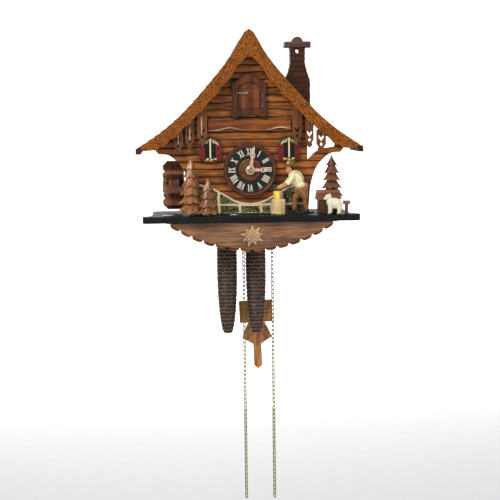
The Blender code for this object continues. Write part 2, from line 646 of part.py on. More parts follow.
def build_yard():
    """The dog, its kennel and the feeding table on the right, and the mill wheel on the left."""
    floor = PLATE_TOP + GAP
    y = -YARD_PLANE
    shape = egg((119.5, y, -47.5), (9.5, 5.4, 6.6), tilt=Matrix.Rotation(math.radians(8), 3, "Y"))
    for x, offset in ((112.5, -2.6), (113.5, 2.6), (126.0, -2.6), (126.5, 2.6)):
        shape = union(shape, rod((x, y + offset, floor), (x, y + offset, -47.0), 2.1, 8, 3.0))
    neck = rod((113.0, y, -46.0), (111.0, y, -40.5), 4.0, 10, 3.4)
    head = egg((110.0, y, -39.5), (4.6, 4.0, 4.2))
    snout = rod((109.0, y, -40.4), (102.8, y, -42.2), 2.5, 8, 1.6)
    ear_left = rod((112.0, y - 2.6, -37.5), (112.6, y - 3.2, -33.6), 1.7, 6, 0.5)
    ear_right = rod((112.0, y + 2.6, -37.5), (112.6, y + 3.2, -33.6), 1.7, 6, 0.5)
    tail = rod((127.0, y, -44.0), (131.5, y, -38.5), 1.6, 8, 0.9)
    piece("dog", union(shape, neck, head, snout, ear_left, ear_right, tail), "dog_coat", round_it=True)

    low, high = -KENNEL_FRONT, -KENNEL_FRONT + 18.5
    middle = (low + high) / 2
    house = block((96.5, low, floor), (126.5, high, -41.0))
    eaves = prism([(93.5, -42.5), (130.0, -42.5), (128.5, -32.0), (95.0, -32.0)], low - 1.5, high + 1.5)
    ridge = prism([(low - 2.0, -42.0), (high + 2.0, -42.0), (middle, -29.5)], 94.5, 129.0, "YZ")
    doorway = block((90.0, low + 4.5, floor + 1.2), (106.0, low + 14.0, -47.0))
    piece("dog_house", cut(union(house, eaves, ridge), doorway), "walnut")

    table_front = low - 3.0
    post = rod((137.5, table_front + 3.5, floor), (137.5, table_front + 3.5, -50.0), 2.8, 10)
    table = block((132.5, table_front, -50.5), (142.5, table_front + 7.0, -45.0))
    piece("feeding_table", union(post, table), "walnut")

    blades = 8
    hub = turned([(0, MILL_X - 17), (6.0, MILL_X - 17), (6.0, MILL_X + 16), (2.9, MILL_X + 16),
                  (2.9, 2.5 + SIDE_THICK - CASE_HALF), (0, 2.5 + SIDE_THICK - CASE_HALF)],
                 (0, -MILL_PLANE, MILL_Z), "X", 16)
    parts = []
    for i in range(blades):
        outline = [(-13.0, 4.0), (13.0, 4.0), (15.0, MILL_R * 0.6), (13.5, MILL_R), (-10.0, MILL_R),
                   (-17.5, MILL_R * 0.78), (-12.0, MILL_R * 0.55)]
        blade = prism([(MILL_X + u, v) for u, v in outline], -1.6, 1.6)
        turn = Matrix.Rotation(2 * math.pi * i / blades + 0.2, 4, "X")
        blade.transform(Matrix.Translation(Vector((0, -MILL_PLANE, MILL_Z)) * MM) @ turn)
        parts.append(blade)
    piece("mill_wheel", union(hub, *parts), "walnut", (MILL_X, -MILL_PLANE, MILL_Z))


# ---------------------------------------------------------------- dial and hands

def hand_outline(hub, length, pierce_at, width):
    """A fretwork hand, pointing up: round hub, waist, pierced ring and pointed tip."""
    right = [(1.3, hub + 2.0), (1.9, hub + 4.5), (1.2, pierce_at - width - 1.5), (width, pierce_at),
             (1.3, pierce_at + width + 1.2), (1.9, pierce_at + width + 3.4), (0.9, length - 3.0)]
    start = math.degrees(math.asin(1.3 / hub))
    rim = arc((0, 0), hub, -90, 90 - start, 12)
    return [*[(x, z) for x, z in rim if x > 0.01], *right, (0, length), *mirrored(right),
            *mirrored([(x, z) for x, z in rim if x > 0.01]), (0, -hub)]


def turned_outline(outline, degrees):
    """An outline turned clockwise about the middle, as a hand goes."""
    angle = math.radians(-degrees)
    return [(x * math.cos(angle) - z * math.sin(angle), x * math.sin(angle) + z * math.cos(angle)) for x,
            z in outline]


def build_dial():
    back = FACADE_FRONT - GAP
    front = back - DIAL_DEPTH
    bed = back - 2.6
    inner = DIAL_R - DIAL_RIM
    profile = [(HUB_R + 0.2, back), (HUB_R + 0.2, front + 1.6), (11.0, front + 2.2),
               (CENTRE_R - 1.0, front + 1.0),
               (CENTRE_R, front + 3.0), (CENTRE_R, bed), (inner, bed), (inner, front + 2.0),
               (inner + 1.4, front + 0.4),
               (DIAL_R - 2.2, front), (DIAL_R - 0.4, front + 2.0), (DIAL_R, back)]
    piece("dial", turned(profile, (0, 0, 0), "Y", 36), "walnut", round_it=True)
    ring = [(CENTRE_R + GAP, bed - GAP), (CENTRE_R + GAP, bed - GAP - RING_THICK + 0.4),
            (inner - GAP, bed - GAP - RING_THICK + 0.4), (inner - GAP, bed - GAP)]
    piece("chapter_ring", turned(ring, (0, 0, 0), "Y", 36), "charcoal", round_it=True)

    hour_back = front - 1.4
    minute_back = hour_back - HAND_THICK - 1.2
    nut_back = minute_back - HAND_THICK - GAP
    pipe_front = hour_back - HAND_THICK - 0.4
    for name, length, pierce, degrees, base, bore in (
            ("hour_hand", HOUR_LENGTH, 18.8, HOUR_ANGLE, hour_back, PIPE_R + GAP),
            ("minute_hand", MINUTE_LENGTH, 21.5, MINUTE_ANGLE, minute_back, ARBOR_R + GAP)):
        outline = turned_outline(hand_outline(HUB_R, length, pierce, 3.1), degrees)
        hole = turned([(0, base - 2), (bore, base - 2), (bore, base + 2), (0, base + 2)], (0, 0, 0), "Y",
                      16)
        tilt = math.radians(90 - degrees)
        ring_hole = turned([(0, base - 2), (1.7, base - 2), (1.7, base + 2), (0, base + 2)],
                           (pierce * math.cos(tilt), 0, pierce * math.sin(tilt)), "Y", 10)
        piece(name, cut(prism(outline, base - HAND_THICK, base), hole, ring_hole), "peach")
    piece("hand_nut", turned([(ARBOR_R + GAP, nut_back), (5.0, nut_back), (4.6, nut_back - 1.8),
                              (ARBOR_R + GAP, nut_back - 2.0)], (0, 0, 0), "Y", 12), "brass", round_it=True)
    arbor_end = -MOVEMENT_BACK - PLATE_SHEET - 1.5
    piece("minute_arbor", turned([(0, nut_back - 2.8), (ARBOR_R, nut_back - 2.6), (ARBOR_R, arbor_end),
                                  (0, arbor_end)],
                                 (0, 0, 0), "Y", 14), "steel", round_it=True)
    wheel_back = -MOVEMENT_FRONT - 1.6
    piece("hour_wheel", turned([(ARBOR_R + GAP, pipe_front), (PIPE_R, pipe_front),
                                (PIPE_R, wheel_back - 1.4),
                                (18.0, wheel_back - 1.4), (18.0, wheel_back), (ARBOR_R + GAP, wheel_back)],
                               (0, 0, 0), "Y", 24), "brass", round_it=True)


# ---------------------------------------------------------------- cuckoo

def build_cuckoo():
    back = FACADE_FRONT - GAP
    right = smooth([(0, 139.4), (9, 134.6), (17, 130.5), (26.6, 125.5)], 2) + \
        smooth([(25.6, 120.0), (24.5, 106.0), (24.5, 92.0), (27.0, 80.0), (21.5, 74.5), (11.0, 78.8),
                (0, 80.0)], 2)
    frame = prism(both_sides(right), back - FRAME_THICK, back)
    opening = prism(doorway_outline(GAP + 0.2), back - FRAME_THICK - 1, back + 1)
    piece("door_frame", cut(frame, opening), "dark_wood")
    front = back - FRAME_THICK + 0.6
    outline = doorway_outline(0.0)
    piece("cuckoo_door", prism(outline, front, front + DOOR_THICK), "walnut", DOOR_PIVOT)
    latch_front = back - FRAME_THICK - GAP - 1.2
    reach = DOOR_WIDTH / 2 + 1.2
    wire = [(-reach, 112.2), (-4.0, 111.6), (-2.0, 114.6), (-0.6, 114.0), (-2.8, 110.2), (-reach, 110.8)]
    shape = prism(wire, latch_front, latch_front + 1.0)
    pin = rod((-3.2, latch_front + 0.5, 111.2), (-3.2, front - GAP, 111.2), 0.7, 8)
    piece("door_latch", union(shape, pin), "steel", LATCH_PIVOT)

    y = -77.0
    body = egg((0, y, 100.5), (5.8, 9.5, 6.4), tilt=Matrix.Rotation(math.radians(-20), 3, "X"))
    head = egg((0, y - 6.5, 107.5), (4.3, 4.6, 4.3))
    beak = rod((0, y - 9.5, 107.3), (0, y - 14.5, 106.4), 1.5, 8, 0.3)
    tail = prism([(y + 6.0, 98.5), (y + 19.0, 93.5), (y + 20.0, 96.0), (y + 6.0, 102.5)], -2.8, 2.8, "YZ")
    wings = egg((0, y + 2.0, 101.5), (7.2, 7.5, 3.6), tilt=Matrix.Rotation(math.radians(-20), 3, "X"))
    foot = rod((0, y, 96.0), (0, y, 91.0 + GAP), 1.2, 8)
    piece("bird", union(body, head, beak, tail, wings, foot), "iron", (0, y, 100.0), round_it=True)
    piece("bird_perch", block((-2.2, y - 5.0, 88.9), (2.2, y + 30.0, 91.0)), "steel", (0, y, 90.0))


# ---------------------------------------------------------------- movement

def star(radius, root, teeth, centre):
    """A toothed wheel's outline, with pointed teeth."""
    points = []
    for i in range(teeth * 2):
        reach = radius if i % 2 == 0 else root
        angle = math.pi * i / teeth
        points.append((centre[0] + reach * math.cos(angle), centre[1] + reach * math.sin(angle)))
    return points


def build_movement():
    half, low, high = MOVEMENT_HALF, MOVEMENT_BOTTOM, MOVEMENT_TOP
    front_plate = block((-half, -MOVEMENT_FRONT, low), (half, -MOVEMENT_FRONT + PLATE_SHEET, high - 14.0))
    centre_hole = turned([(0, -MOVEMENT_FRONT - 1), (ARBOR_R + GAP, -MOVEMENT_FRONT - 1),
                          (ARBOR_R + GAP, -MOVEMENT_FRONT + 3), (0, -MOVEMENT_FRONT + 3)], (0, 0, 0), "Y",
                          14)
    piece("movement_front_plate", cut(front_plate, centre_hole), "brass")
    rear = block((-half, -MOVEMENT_BACK - PLATE_SHEET, low), (half, -MOVEMENT_BACK, high))
    posts = []
    for x in (-half + 4.0, half - 4.0):
        for z in (low + 5.0, high - 20.0):
            posts.append(rod((x, -MOVEMENT_FRONT + PLATE_SHEET + GAP, z), (x, -MOVEMENT_BACK - 0.5, z),
                             PILLAR_R, 10))
    hanger = rod((0, -MOVEMENT_BACK - 0.5, HANGER_Z), (0, -PENDULUM_PLANE + 4.5, HANGER_Z), 1.8, 10)
    anchor_hole = turned([(0, -MOVEMENT_BACK - 4), (1.6, -MOVEMENT_BACK - 4), (1.6, -MOVEMENT_BACK + 2),
                          (0, -MOVEMENT_BACK + 2)], (0, 0, ANCHOR_Z), "Y", 10)
    piece("movement_back_plate", cut(union(rear, *posts, hanger), anchor_hole), "brass")

    for side, name in ((-1, "chain_wheel_left"), (1, "chain_wheel_right")):
        floor_r = CHAIN_PITCH_R - CHAIN_R - GAP
        rim = floor_r + 3.4
        near = -CHAIN_PLANE - CHAIN_R - 0.6
        far = -CHAIN_PLANE + CHAIN_R + 0.6
        profile = [(0, -MOVEMENT_FRONT + PLATE_SHEET + 1), (1.6, -MOVEMENT_FRONT + PLATE_SHEET + 1),
                   (1.6, near - 9.0),
                   (20.0, near - 9.0), (20.0, near - 7.5), (5.0, near - 7.5), (5.0, near - 1.2),
                   (rim, near - 1.2),
                   (rim, near), (floor_r, near), (floor_r, far), (rim, far), (rim, far + 1.2),
                   (1.6, far + 1.2),
                   (1.6, -MOVEMENT_BACK - PLATE_SHEET - 1), (0, -MOVEMENT_BACK - PLATE_SHEET - 1)]
        centre = (side * CHAIN_WHEEL_X, 0, CHAIN_WHEEL_Z)
        piece(name, turned(profile, centre, "Y", 18), "brass", (centre[0], -CHAIN_PLANE, centre[2]),
              round_it=True)

    escape_z, escape_y = 29.0, -37.0
    wheel = prism(star(9.0, 6.8, 15, (0, escape_z)), escape_y - 0.6, escape_y + 0.6)
    arbor = rod((0, -MOVEMENT_FRONT + PLATE_SHEET + 1, escape_z), (0, -MOVEMENT_BACK - PLATE_SHEET - 1,
                                                                   escape_z), 1.0, 8)
    piece("escape_wheel", union(wheel, arbor), "brass", (0, escape_y, escape_z))
    arms = prism([(0, ANCHOR_Z + 2.6), (5.0, ANCHOR_Z + 1.0), (12.0, ANCHOR_Z - 8.0), (9.8, ANCHOR_Z - 9.6),
                  (3.4, ANCHOR_Z - 3.0), (0, ANCHOR_Z - 2.4), (-3.4, ANCHOR_Z - 3.0),
                  (-9.8, ANCHOR_Z - 9.6),
                  (-12.0, ANCHOR_Z - 8.0), (-5.0, ANCHOR_Z + 1.0)], escape_y - 0.9, escape_y + 0.9)
    staff = rod((0, -MOVEMENT_FRONT + PLATE_SHEET + 1, ANCHOR_Z), (0, -PENDULUM_PLANE - 2.4, ANCHOR_Z),
                1.1, 8)
    crutch_y = -PENDULUM_PLANE - 3.4
    crutch_end = 20.0
    crutch = block((-1.2, crutch_y, crutch_end), (1.2, crutch_y + 1.2, ANCHOR_Z + 1.8))
    fork = [block((side * 3.0 - 0.8, crutch_y + 0.1, crutch_end - 1.4),
                  (side * 3.0 + 0.8, -PENDULUM_PLANE + 2.6, crutch_end + 1.2))
            for side in (-1, 1)]
    bridge = block((-3.7, crutch_y + 0.05, crutch_end - 1.2), (3.7, crutch_y + 1.1, crutch_end + 1.0))
    anchor = union(arms, staff, crutch, bridge, *fork)
    ratio = (HANGER_Z - crutch_end) / (ANCHOR_Z - crutch_end)
    tilt_about(anchor, (0, ANCHOR_Z), PENDULUM_TILT * ratio)
    piece("anchor", anchor, "steel", (0, escape_y, ANCHOR_Z))


def tilt_about(shape, centre, degrees):
    """Turns a shape so that what hangs below the centre goes to the right."""
    place = Vector((centre[0], 0, centre[1])) * MM
    turn = Matrix.Rotation(-math.radians(degrees), 4, "Y")
    shape.transform(Matrix.Translation(place) @ turn @ Matrix.Translation(-place))


def build_sound():
    """Two bellows with their lifting lids, the wire gong and its hammer."""
    for side, name in ((-1, "left"), (1, "right")):
        inner, outer = 51.0, 69.0
        low, high = min(side * inner, side * outer), max(side * inner, side * outer)
        box = block((low, -70.0, -12.0), (high, -30.0, 58.0))
        mouth = block((low + 3.0, -71.0, 30.0), (high - 3.0, -64.0, 34.0))
        piece("bellows_" + name, cut(box, mouth), "pale_wood")
        piece("bellows_lid_" + name, block((low, -72.0, 58.0 + GAP), (high, -30.0, 61.5)), "kid",
              (side * (inner + outer) / 2, -30.0, 58.0 + GAP))

    centre, turns, steps = GONG_CENTRE, 3.0, 12
    curve = bpy.data.curves.new("gong_wire", "CURVE")
    curve.dimensions = "3D"
    curve.bevel_depth = 0.9 * MM
    curve.bevel_resolution = 1
    curve.use_fill_caps = True
    line = curve.splines.new("POLY")
    count = int(turns * steps)
    line.points.add(count)
    for i in range(count + 1):
        angle = 2 * math.pi * i / steps
        reach = 5.0 + 19.5 * i / count
        line.points[i].co = (*(Vector((centre[0] + reach * math.cos(angle), centre[1],
                                       centre[2] + reach * math.sin(angle))) * MM), 1.0)
    holder = bpy.data.objects.new("gong_wire", curve)
    bpy.context.scene.collection.objects.link(holder)
    depsgraph = bpy.context.evaluated_depsgraph_get()
    wire = bpy.data.meshes.new_from_object(holder.evaluated_get(depsgraph))
    bpy.data.objects.remove(holder)
    boss = rod((centre[0], -BACK_THICK - GAP, centre[2]), (centre[0], centre[1] - 2.5, centre[2]), 5.6, 14)
    piece("gong", union(boss, wire), "steel")

    arm = rod((HAMMER_PIVOT[0], centre[1], HAMMER_PIVOT[2]), (centre[0], centre[1], HAMMER_PIVOT[2]), 0.9,
              8)
    head = rod((centre[0], centre[1] + 2.2, HAMMER_PIVOT[2]),
               (centre[0], centre[1] - 4.0, HAMMER_PIVOT[2]), 3.4, 12)
    eye = rod((HAMMER_PIVOT[0], centre[1] + 3.0, HAMMER_PIVOT[2]),
              (HAMMER_PIVOT[0], centre[1] - 3.0, HAMMER_PIVOT[2]), 1.8, 10)
    piece("gong_hammer", union(arm, head, eye), "iron", HAMMER_PIVOT)


# ---------------------------------------------------------------- weights, chains and pendulum

def build_weights():
    for side, name in ((-1, "left"), (1, "right")):
        weight_x = side * CHAIN_WHEEL_X - CHAIN_PITCH_R
        free_x = side * CHAIN_WHEEL_X + CHAIN_PITCH_R
        shares = [(0.0, 0.0), (0.46, 0.004), (0.80, 0.035), (0.96, 0.11), (1.0, 0.27), (0.99, 0.45),
                  (0.93, 0.62),
                  (0.82, 0.77), (0.66, 0.90), (0.50, 0.965), (0.30, 0.995), (0.0, 1.0)]
        profile = [(WEIGHT_R * r, WEIGHT_TOP - WEIGHT_LENGTH * h) for r, h in shares]
        cone = turned(profile, (weight_x, -CHAIN_PLANE, 0), "Z", 16)
        strand = rod((weight_x, -CHAIN_PLANE, WEIGHT_TOP - 5.0), (weight_x, -CHAIN_PLANE, CHAIN_WHEEL_Z),
                     CHAIN_R, 8)
        piece("weight_" + name, union(cone, strand), "iron", (weight_x, -CHAIN_PLANE, WEIGHT_TOP),
              round_it=True)

        curve = bpy.data.curves.new("chain_" + name, "CURVE")
        curve.dimensions = "3D"
        curve.bevel_depth = CHAIN_R * MM
        curve.bevel_resolution = 2
        curve.use_fill_caps = True
        line = curve.splines.new("POLY")
        low = CHAIN_LEFT_END if side < 0 else CHAIN_RIGHT_END
        count = 40
        line.points.add(count)
        for i in range(count + 1):
            height = CHAIN_WHEEL_Z + (low - CHAIN_WHEEL_Z) * i / count
            line.points[i].co = (free_x * MM, -CHAIN_PLANE * MM, height * MM, 1.0)
        curve.materials.append(material("brass"))
        chain = bpy.data.objects.new("chain_" + name, curve)
        bpy.context.scene.collection.objects.link(chain)


def build_pendulum():
    y = -PENDULUM_PLANE
    eye = turned([(2.2, y - 1.5), (4.0, y - 1.5), (4.0, y + 1.5), (2.2, y + 1.5)], (0, 0, HANGER_Z), "Y",
                 14)
    leader = rod((0, y, HANGER_Z - 3.2), (0, y, -190.0), 1.2, 8)
    stick = block((-3.6, y - 1.4, -216.0), (3.6, y + 1.4, -186.0))
    rod_shape = union(eye, leader, stick)
    tail = prism([(-6.3, -260.0), (6.3, -260.0), (6.3, PENDULUM_END + 5.5), (0, PENDULUM_END),
                  (-6.3, PENDULUM_END + 5.5)],
                 y - 4.4, y - 1.9)
    body = prism([(-25.0, -236.5), (25.0, -236.5), (25.4, -233.0), (25.4, -204.0), (24.6, -202.3),
                  (-24.6, -202.3),
                  (-25.4, -204.0), (-25.4, -233.0)], y - 6.5, y - 1.8)
    leaf = prism([(-12.5, -236.0), (12.5, -236.0), (23.0, -259.5), (0, -273.0), (-23.0, -259.5)], y - 7.5,
                 y - 1.7)
    bob = union(body, leaf, tail)
    for shape in (rod_shape, bob):
        tilt_about(shape, (0, HANGER_Z), PENDULUM_TILT)
    piece("pendulum_rod", rod_shape, "dark_wood", (0, y, HANGER_Z))
    piece("pendulum_bob", bob, "fir", (0, y, HANGER_Z))


# ---------------------------------------------------------------- shared places

MILL_Z = PLATE_TOP + MILL_R + 4.6
CHAIN_XS = [side * CHAIN_WHEEL_X + hand * CHAIN_PITCH_R for side in (-1, 1) for hand in (-1, 1)]
SHOULDER = (60.5, -FIGURE_PLANE, -9.5)
DOOR_PIVOT = (DOOR_WIDTH / 2 + 0.2, FACADE_FRONT - GAP - FRAME_THICK + 0.4, DOOR_BOTTOM)
LATCH_PIVOT = (-3.2, FACADE_FRONT - GAP - FRAME_THICK, 111.2)
GONG_CENTRE = (-44.0, -13.0, 4.0)
HAMMER_PIVOT = (-66.0, -13.0, GONG_CENTRE[2] + 29.4)


def main():
    for old in list(bpy.data.objects):
        bpy.data.objects.remove(old)
    build_roof()
    build_case()
    build_facade()
    build_posts()
    build_windows()
    build_chimney()
    build_base()
    build_trees()
    build_figure()
    build_yard()
    build_dial()
    build_cuckoo()
    build_movement()
    build_sound()
    build_weights()
    build_pendulum()


main()
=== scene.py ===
import json
import math
import random

import bmesh
import bpy
from mathutils import Euler, Matrix, Vector
from mathutils.bvhtree import BVHTree

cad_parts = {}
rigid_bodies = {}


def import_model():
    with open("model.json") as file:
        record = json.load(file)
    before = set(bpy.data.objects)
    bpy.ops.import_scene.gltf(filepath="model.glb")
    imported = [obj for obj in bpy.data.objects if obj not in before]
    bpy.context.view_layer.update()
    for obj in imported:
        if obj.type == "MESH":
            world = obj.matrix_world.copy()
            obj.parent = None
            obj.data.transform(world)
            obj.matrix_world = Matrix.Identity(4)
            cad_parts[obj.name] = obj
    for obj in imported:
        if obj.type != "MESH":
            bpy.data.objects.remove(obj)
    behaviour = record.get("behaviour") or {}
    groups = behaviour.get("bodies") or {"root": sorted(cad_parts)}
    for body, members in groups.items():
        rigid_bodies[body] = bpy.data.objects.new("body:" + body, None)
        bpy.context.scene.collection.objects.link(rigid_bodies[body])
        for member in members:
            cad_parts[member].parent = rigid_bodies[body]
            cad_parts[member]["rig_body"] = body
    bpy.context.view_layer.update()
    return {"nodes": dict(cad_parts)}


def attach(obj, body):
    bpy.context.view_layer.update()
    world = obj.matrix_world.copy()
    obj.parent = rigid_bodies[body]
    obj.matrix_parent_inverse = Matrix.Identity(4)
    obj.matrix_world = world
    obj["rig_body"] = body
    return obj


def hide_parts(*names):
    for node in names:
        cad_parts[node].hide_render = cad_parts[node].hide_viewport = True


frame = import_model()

MM = 0.001
PLATE_TOP = -63.7           # the base plate's top, where everything in the yard stands
COURSE = 10.8               # height of one log of the facade
FACADE_FRONT = -95.0
LOG_DEPTH = 2.0
WHEEL_CENTRE = (-111.0, -60.0, -22.4)
CONE_RADIUS = 15.7
CHAIN_TOP, CHAIN_LENGTH = -28.0, 477.0
SPECULAR = 0.22             # stained and painted wood reflects less than bare plastic
LACQUER_SPECULAR = 0.16
NODES = frame["nodes"]
CHANCE = random.Random(11)
COLLECTION = bpy.context.scene.collection


# ------------------------------------------------------------------ looks

class Look:
    """A Principled material whose colour, gloss and relief come from the place on the clock."""

    def __init__(self, name, roughness=0.5, metallic=0.0, coat=0.0, coat_roughness=0.25):
        self.material = bpy.data.materials.new(name)
        self.material.use_nodes = True
        self.tree = self.material.node_tree
        self.shader = next(n for n in self.tree.nodes if n.type == "BSDF_PRINCIPLED")
        self.shader.inputs["Roughness"].default_value = roughness
        self.shader.inputs["Metallic"].default_value = metallic
        self.shader.inputs["Coat Weight"].default_value = coat
        self.shader.inputs["Coat Roughness"].default_value = coat_roughness
        self.place = self.add("ShaderNodeTexCoord").outputs["Object"]
        self.normal = None

    def add(self, kind, **settings):
        node = self.tree.nodes.new(kind)
        for key, value in settings.items():
            setattr(node, key, value)
        return node

    def put(self, value, socket):
        if isinstance(value, bpy.types.NodeSocket):
            self.tree.links.new(value, socket)
        elif socket.type == "RGBA" and len(value) == 3:
            socket.default_value = (*value, 1.0)
        else:
            socket.default_value = value

    def scaled(self, size, stretch):
        mapping = self.add("ShaderNodeMapping")
        self.put(self.place, mapping.inputs["Vector"])
        mapping.inputs["Scale"].default_value = [1000.0 / (size * s) for s in stretch]
        return mapping.outputs[0]

    def noise(self, size, stretch=(1, 1, 1), detail=3.0, distortion=0.0):
        """Noise with features of a size in millimetres, drawn out along the stretched axis."""
        node = self.add("ShaderNodeTexNoise")
        self.put(self.scaled(size, stretch), node.inputs["Vector"])
        node.inputs["Scale"].default_value = 1.0
        node.inputs["Detail"].default_value = detail
        node.inputs["Distortion"].default_value = distortion
        return node.outputs["Fac"]

    def cells(self, size, stretch=(1, 1, 1), output="Distance", feature="F1"):
        node = self.add("ShaderNodeTexVoronoi", feature=feature)
        self.put(self.scaled(size, stretch), node.inputs["Vector"])
        node.inputs["Scale"].default_value = 1.0
        return node.outputs[output]

    def axis(self, index):
        node = self.add("ShaderNodeSeparateXYZ")
        self.put(self.place, node.inputs[0])
        return node.outputs[index]

    def calc(self, operation, a, b=0.0):
        node = self.add("ShaderNodeMath", operation=operation)
        self.put(a, node.inputs[0])
        self.put(b, node.inputs[1])
        return node.outputs[0]

    def span(self, value, low, high, to_low=0.0, to_high=1.0):
        node = self.add("ShaderNodeMapRange")
        self.put(value, node.inputs["Value"])
        for key, number in (("From Min", low), ("From Max", high), ("To Min", to_low), ("To Max", to_high)):
            node.inputs[key].default_value = number
        return node.outputs["Result"]

    def courses(self, index, pitch, start):
        """A random value for each course of a given pitch along one axis, in millimetres."""
        step = self.calc("FLOOR", self.calc("DIVIDE", self.calc("SUBTRACT", self.axis(index), start * MM),
                                            pitch * MM))
        node = self.add("ShaderNodeTexWhiteNoise", noise_dimensions="1D")
        self.put(step, node.inputs["W"])
        return node.outputs["Value"]

    def tint(self):
        return self.add("ShaderNodeAttribute", attribute_name="tint").outputs["Fac"]

    def ramp(self, value, stops):
        node = self.add("ShaderNodeValToRGB")
        elements = node.color_ramp.elements
        elements[0].position, elements[0].color = stops[0][0], (*stops[0][1], 1.0)
        elements[1].position, elements[1].color = stops[-1][0], (*stops[-1][1], 1.0)
        for at, colour in stops[1:-1]:
            elements.new(at).color = (*colour, 1.0)
        self.put(value, node.inputs["Fac"])
        return node.outputs["Color"]

    def mix(self, share, first, second, blend="MIX"):
        node = self.add("ShaderNodeMixRGB", blend_type=blend)
        self.put(share, node.inputs["Fac"])
        self.put(first, node.inputs["Color1"])
        self.put(second, node.inputs["Color2"])
        return node.outputs["Color"]

    def shade(self, colour, value, low, high, span=(0.3, 0.7)):
        """The colour multiplied by a brightness that runs from low to high with a value."""
        grey = self.ramp(value, [(span[0], (low,) * 3), (span[1], (high,) * 3)])
        return self.mix(1.0, colour, grey, "MULTIPLY")

    def bump(self, height, depth, strength=1.0):
        """Relief of a depth in millimetres, over the relief already there."""
        node = self.add("ShaderNodeBump")
        node.inputs["Distance"].default_value = depth * MM
        node.inputs["Strength"].default_value = strength
        self.put(height, node.inputs["Height"])
        if self.normal:
            self.put(self.normal, node.inputs["Normal"])
        self.normal = node.outputs[0]

    def done(self, colour, roughness=None):
        self.shader.inputs["Specular IOR Level"].default_value = SPECULAR
        self.put(colour, self.shader.inputs["Base Color"])
        if roughness is not None:
            self.put(roughness, self.shader.inputs["Roughness"])
        if self.normal:
            self.put(self.normal, self.shader.inputs["Normal"])
        return self.material


GRAINS = {"X": (14, 1, 1), "Y": (1, 14, 1), "Z": (1, 1, 14)}


def wood(name, dark, light, grain="X", roughness=0.42, coat=0.15, size=1.3, patch=0.25, relief=0.12,
         courses=None, groove_shade=None, tinted=False):
    """Stained wood: fibres, bands and cloudy patches, with pores that catch the light."""
    look = Look(name, roughness, 0.0, coat)
    along = GRAINS[grain]
    fibres = look.noise(size, along, 5.0, 0.4)
    bands = look.noise(size * 5.5, along, 2.0, 1.2)
    pores = look.noise(size * 0.35, tuple(0.5 * s + 0.5 for s in along), 2.0)
    middle = tuple((d + l) / 2 for d, l in zip(dark, light))
    colour = look.ramp(bands, [(0.3, dark), (0.52, middle), (0.72, light)])
    colour = look.shade(colour, fibres, 0.68, 1.22)
    colour = look.shade(colour, look.noise(38, (1.4, 1, 1), 2.0), 1 - patch, 1 + patch)
    colour = look.shade(colour, pores, 0.55, 1.0, (0.28, 0.42))
    if courses:
        colour = look.shade(colour, look.courses(*courses), 0.72, 1.28, (0.0, 1.0))
    if tinted:
        colour = look.shade(colour, look.tint(), 0.62, 1.3, (0.0, 1.0))
    # Painted shade: the colour darkens towards the back of the recess, down to near black, as if the grooves
    # between the logs lay in shadow.
    if groove_shade:
        index, surface, depth = groove_shade
        deep = look.span(look.axis(index), surface * MM, (surface + depth) * MM)
        colour = look.mix(deep, colour, look.mix(1.0, colour, (0.13, 0.1, 0.09), "MULTIPLY"))
    look.bump(fibres, relief)
    look.bump(pores, relief * 0.6)
    gloss = look.span(fibres, 0.3, 0.7, roughness + 0.12, roughness - 0.08)
    return look.done(colour, gloss)


def paint(name, colour, roughness=0.45, coat=0.0, vary=0.16, relief=0.06, size=4.0, dirt=0.25):
    """Hand-laid paint: uneven cover, small dirt specks and a slight orange peel."""
    look = Look(name, roughness, 0.0, coat)
    cover = look.noise(size, detail=4.0)
    specks = look.noise(size * 0.18, detail=2.0)
    made = look.shade(look.add("ShaderNodeRGB").outputs[0], cover, 1 - vary, 1 + vary)
    made.node.inputs["Color1"].links[0].from_socket.default_value = (*colour, 1.0)
    made = look.shade(made, specks, 1 - dirt, 1.0, (0.25, 0.45))
    look.bump(cover, relief * 2)
    look.bump(specks, relief)
    return look.done(made, look.span(cover, 0.3, 0.7, roughness + 0.1, roughness - 0.1))


def metal(name, colour, roughness=0.3, tarnish=(0.25, 0.16, 0.06), amount=0.35, brushed=None):
    look = Look(name, roughness, 1.0)
    clouds = look.noise(7, detail=4.0)
    scratches = look.noise(0.5, brushed or (1, 1, 6), 3.0)
    made = look.mix(look.span(clouds, 0.42, 0.75, 0.0, amount), colour, tarnish)
    made = look.shade(made, scratches, 0.82, 1.12)
    look.bump(scratches, 0.02)
    return look.done(made, look.span(clouds, 0.3, 0.7, roughness - 0.08, roughness + 0.16))


def gable_look():
    """Thatch stand-in: bright stain over close punching, with darker comma marks."""
    look = Look("gable_stain", 0.62, 0.0, 0.05)
    punch = look.cells(1.9)
    marks = look.cells(4.2, (1.2, 1, 0.8))
    ring = look.ramp(marks, [(0.13, (1, 1, 1)), (0.21, (0.12, 0.1, 0.08)), (0.29, (1, 1, 1))])
    gate = look.ramp(look.noise(9, detail=2.0), [(0.45, (0, 0, 0)), (0.5, (1, 1, 1))])
    colour = look.ramp(look.noise(1.8, (1, 1, 1), 4.0),
                       [(0.3, (0.12, 0.027, 0.0015)), (0.52, (0.35, 0.095, 0.0055)),
                                                         (0.72, (0.54, 0.19, 0.014))])
    colour = look.shade(colour, punch, 1.3, 0.45, (0.2, 0.75))
    colour = look.shade(colour, look.noise(30, detail=2.0), 0.85, 1.15)
    colour = look.mix(gate, colour, look.mix(1.0, colour, ring, "MULTIPLY"))
    look.bump(punch, 0.5)
    look.bump(look.noise(0.8, detail=3.0), 0.25)
    return look.done(colour)


def stone_look(name, low, middle, high, size):
    look = Look(name, 0.8)
    grit = look.noise(size, detail=6.0)
    colour = look.ramp(grit, [(0.32, low), (0.5, middle), (0.68, high)])
    colour = look.shade(colour, look.tint(), 0.5, 1.6, (0.0, 1.0))
    look.bump(grit, 0.5)
    return look.done(colour)


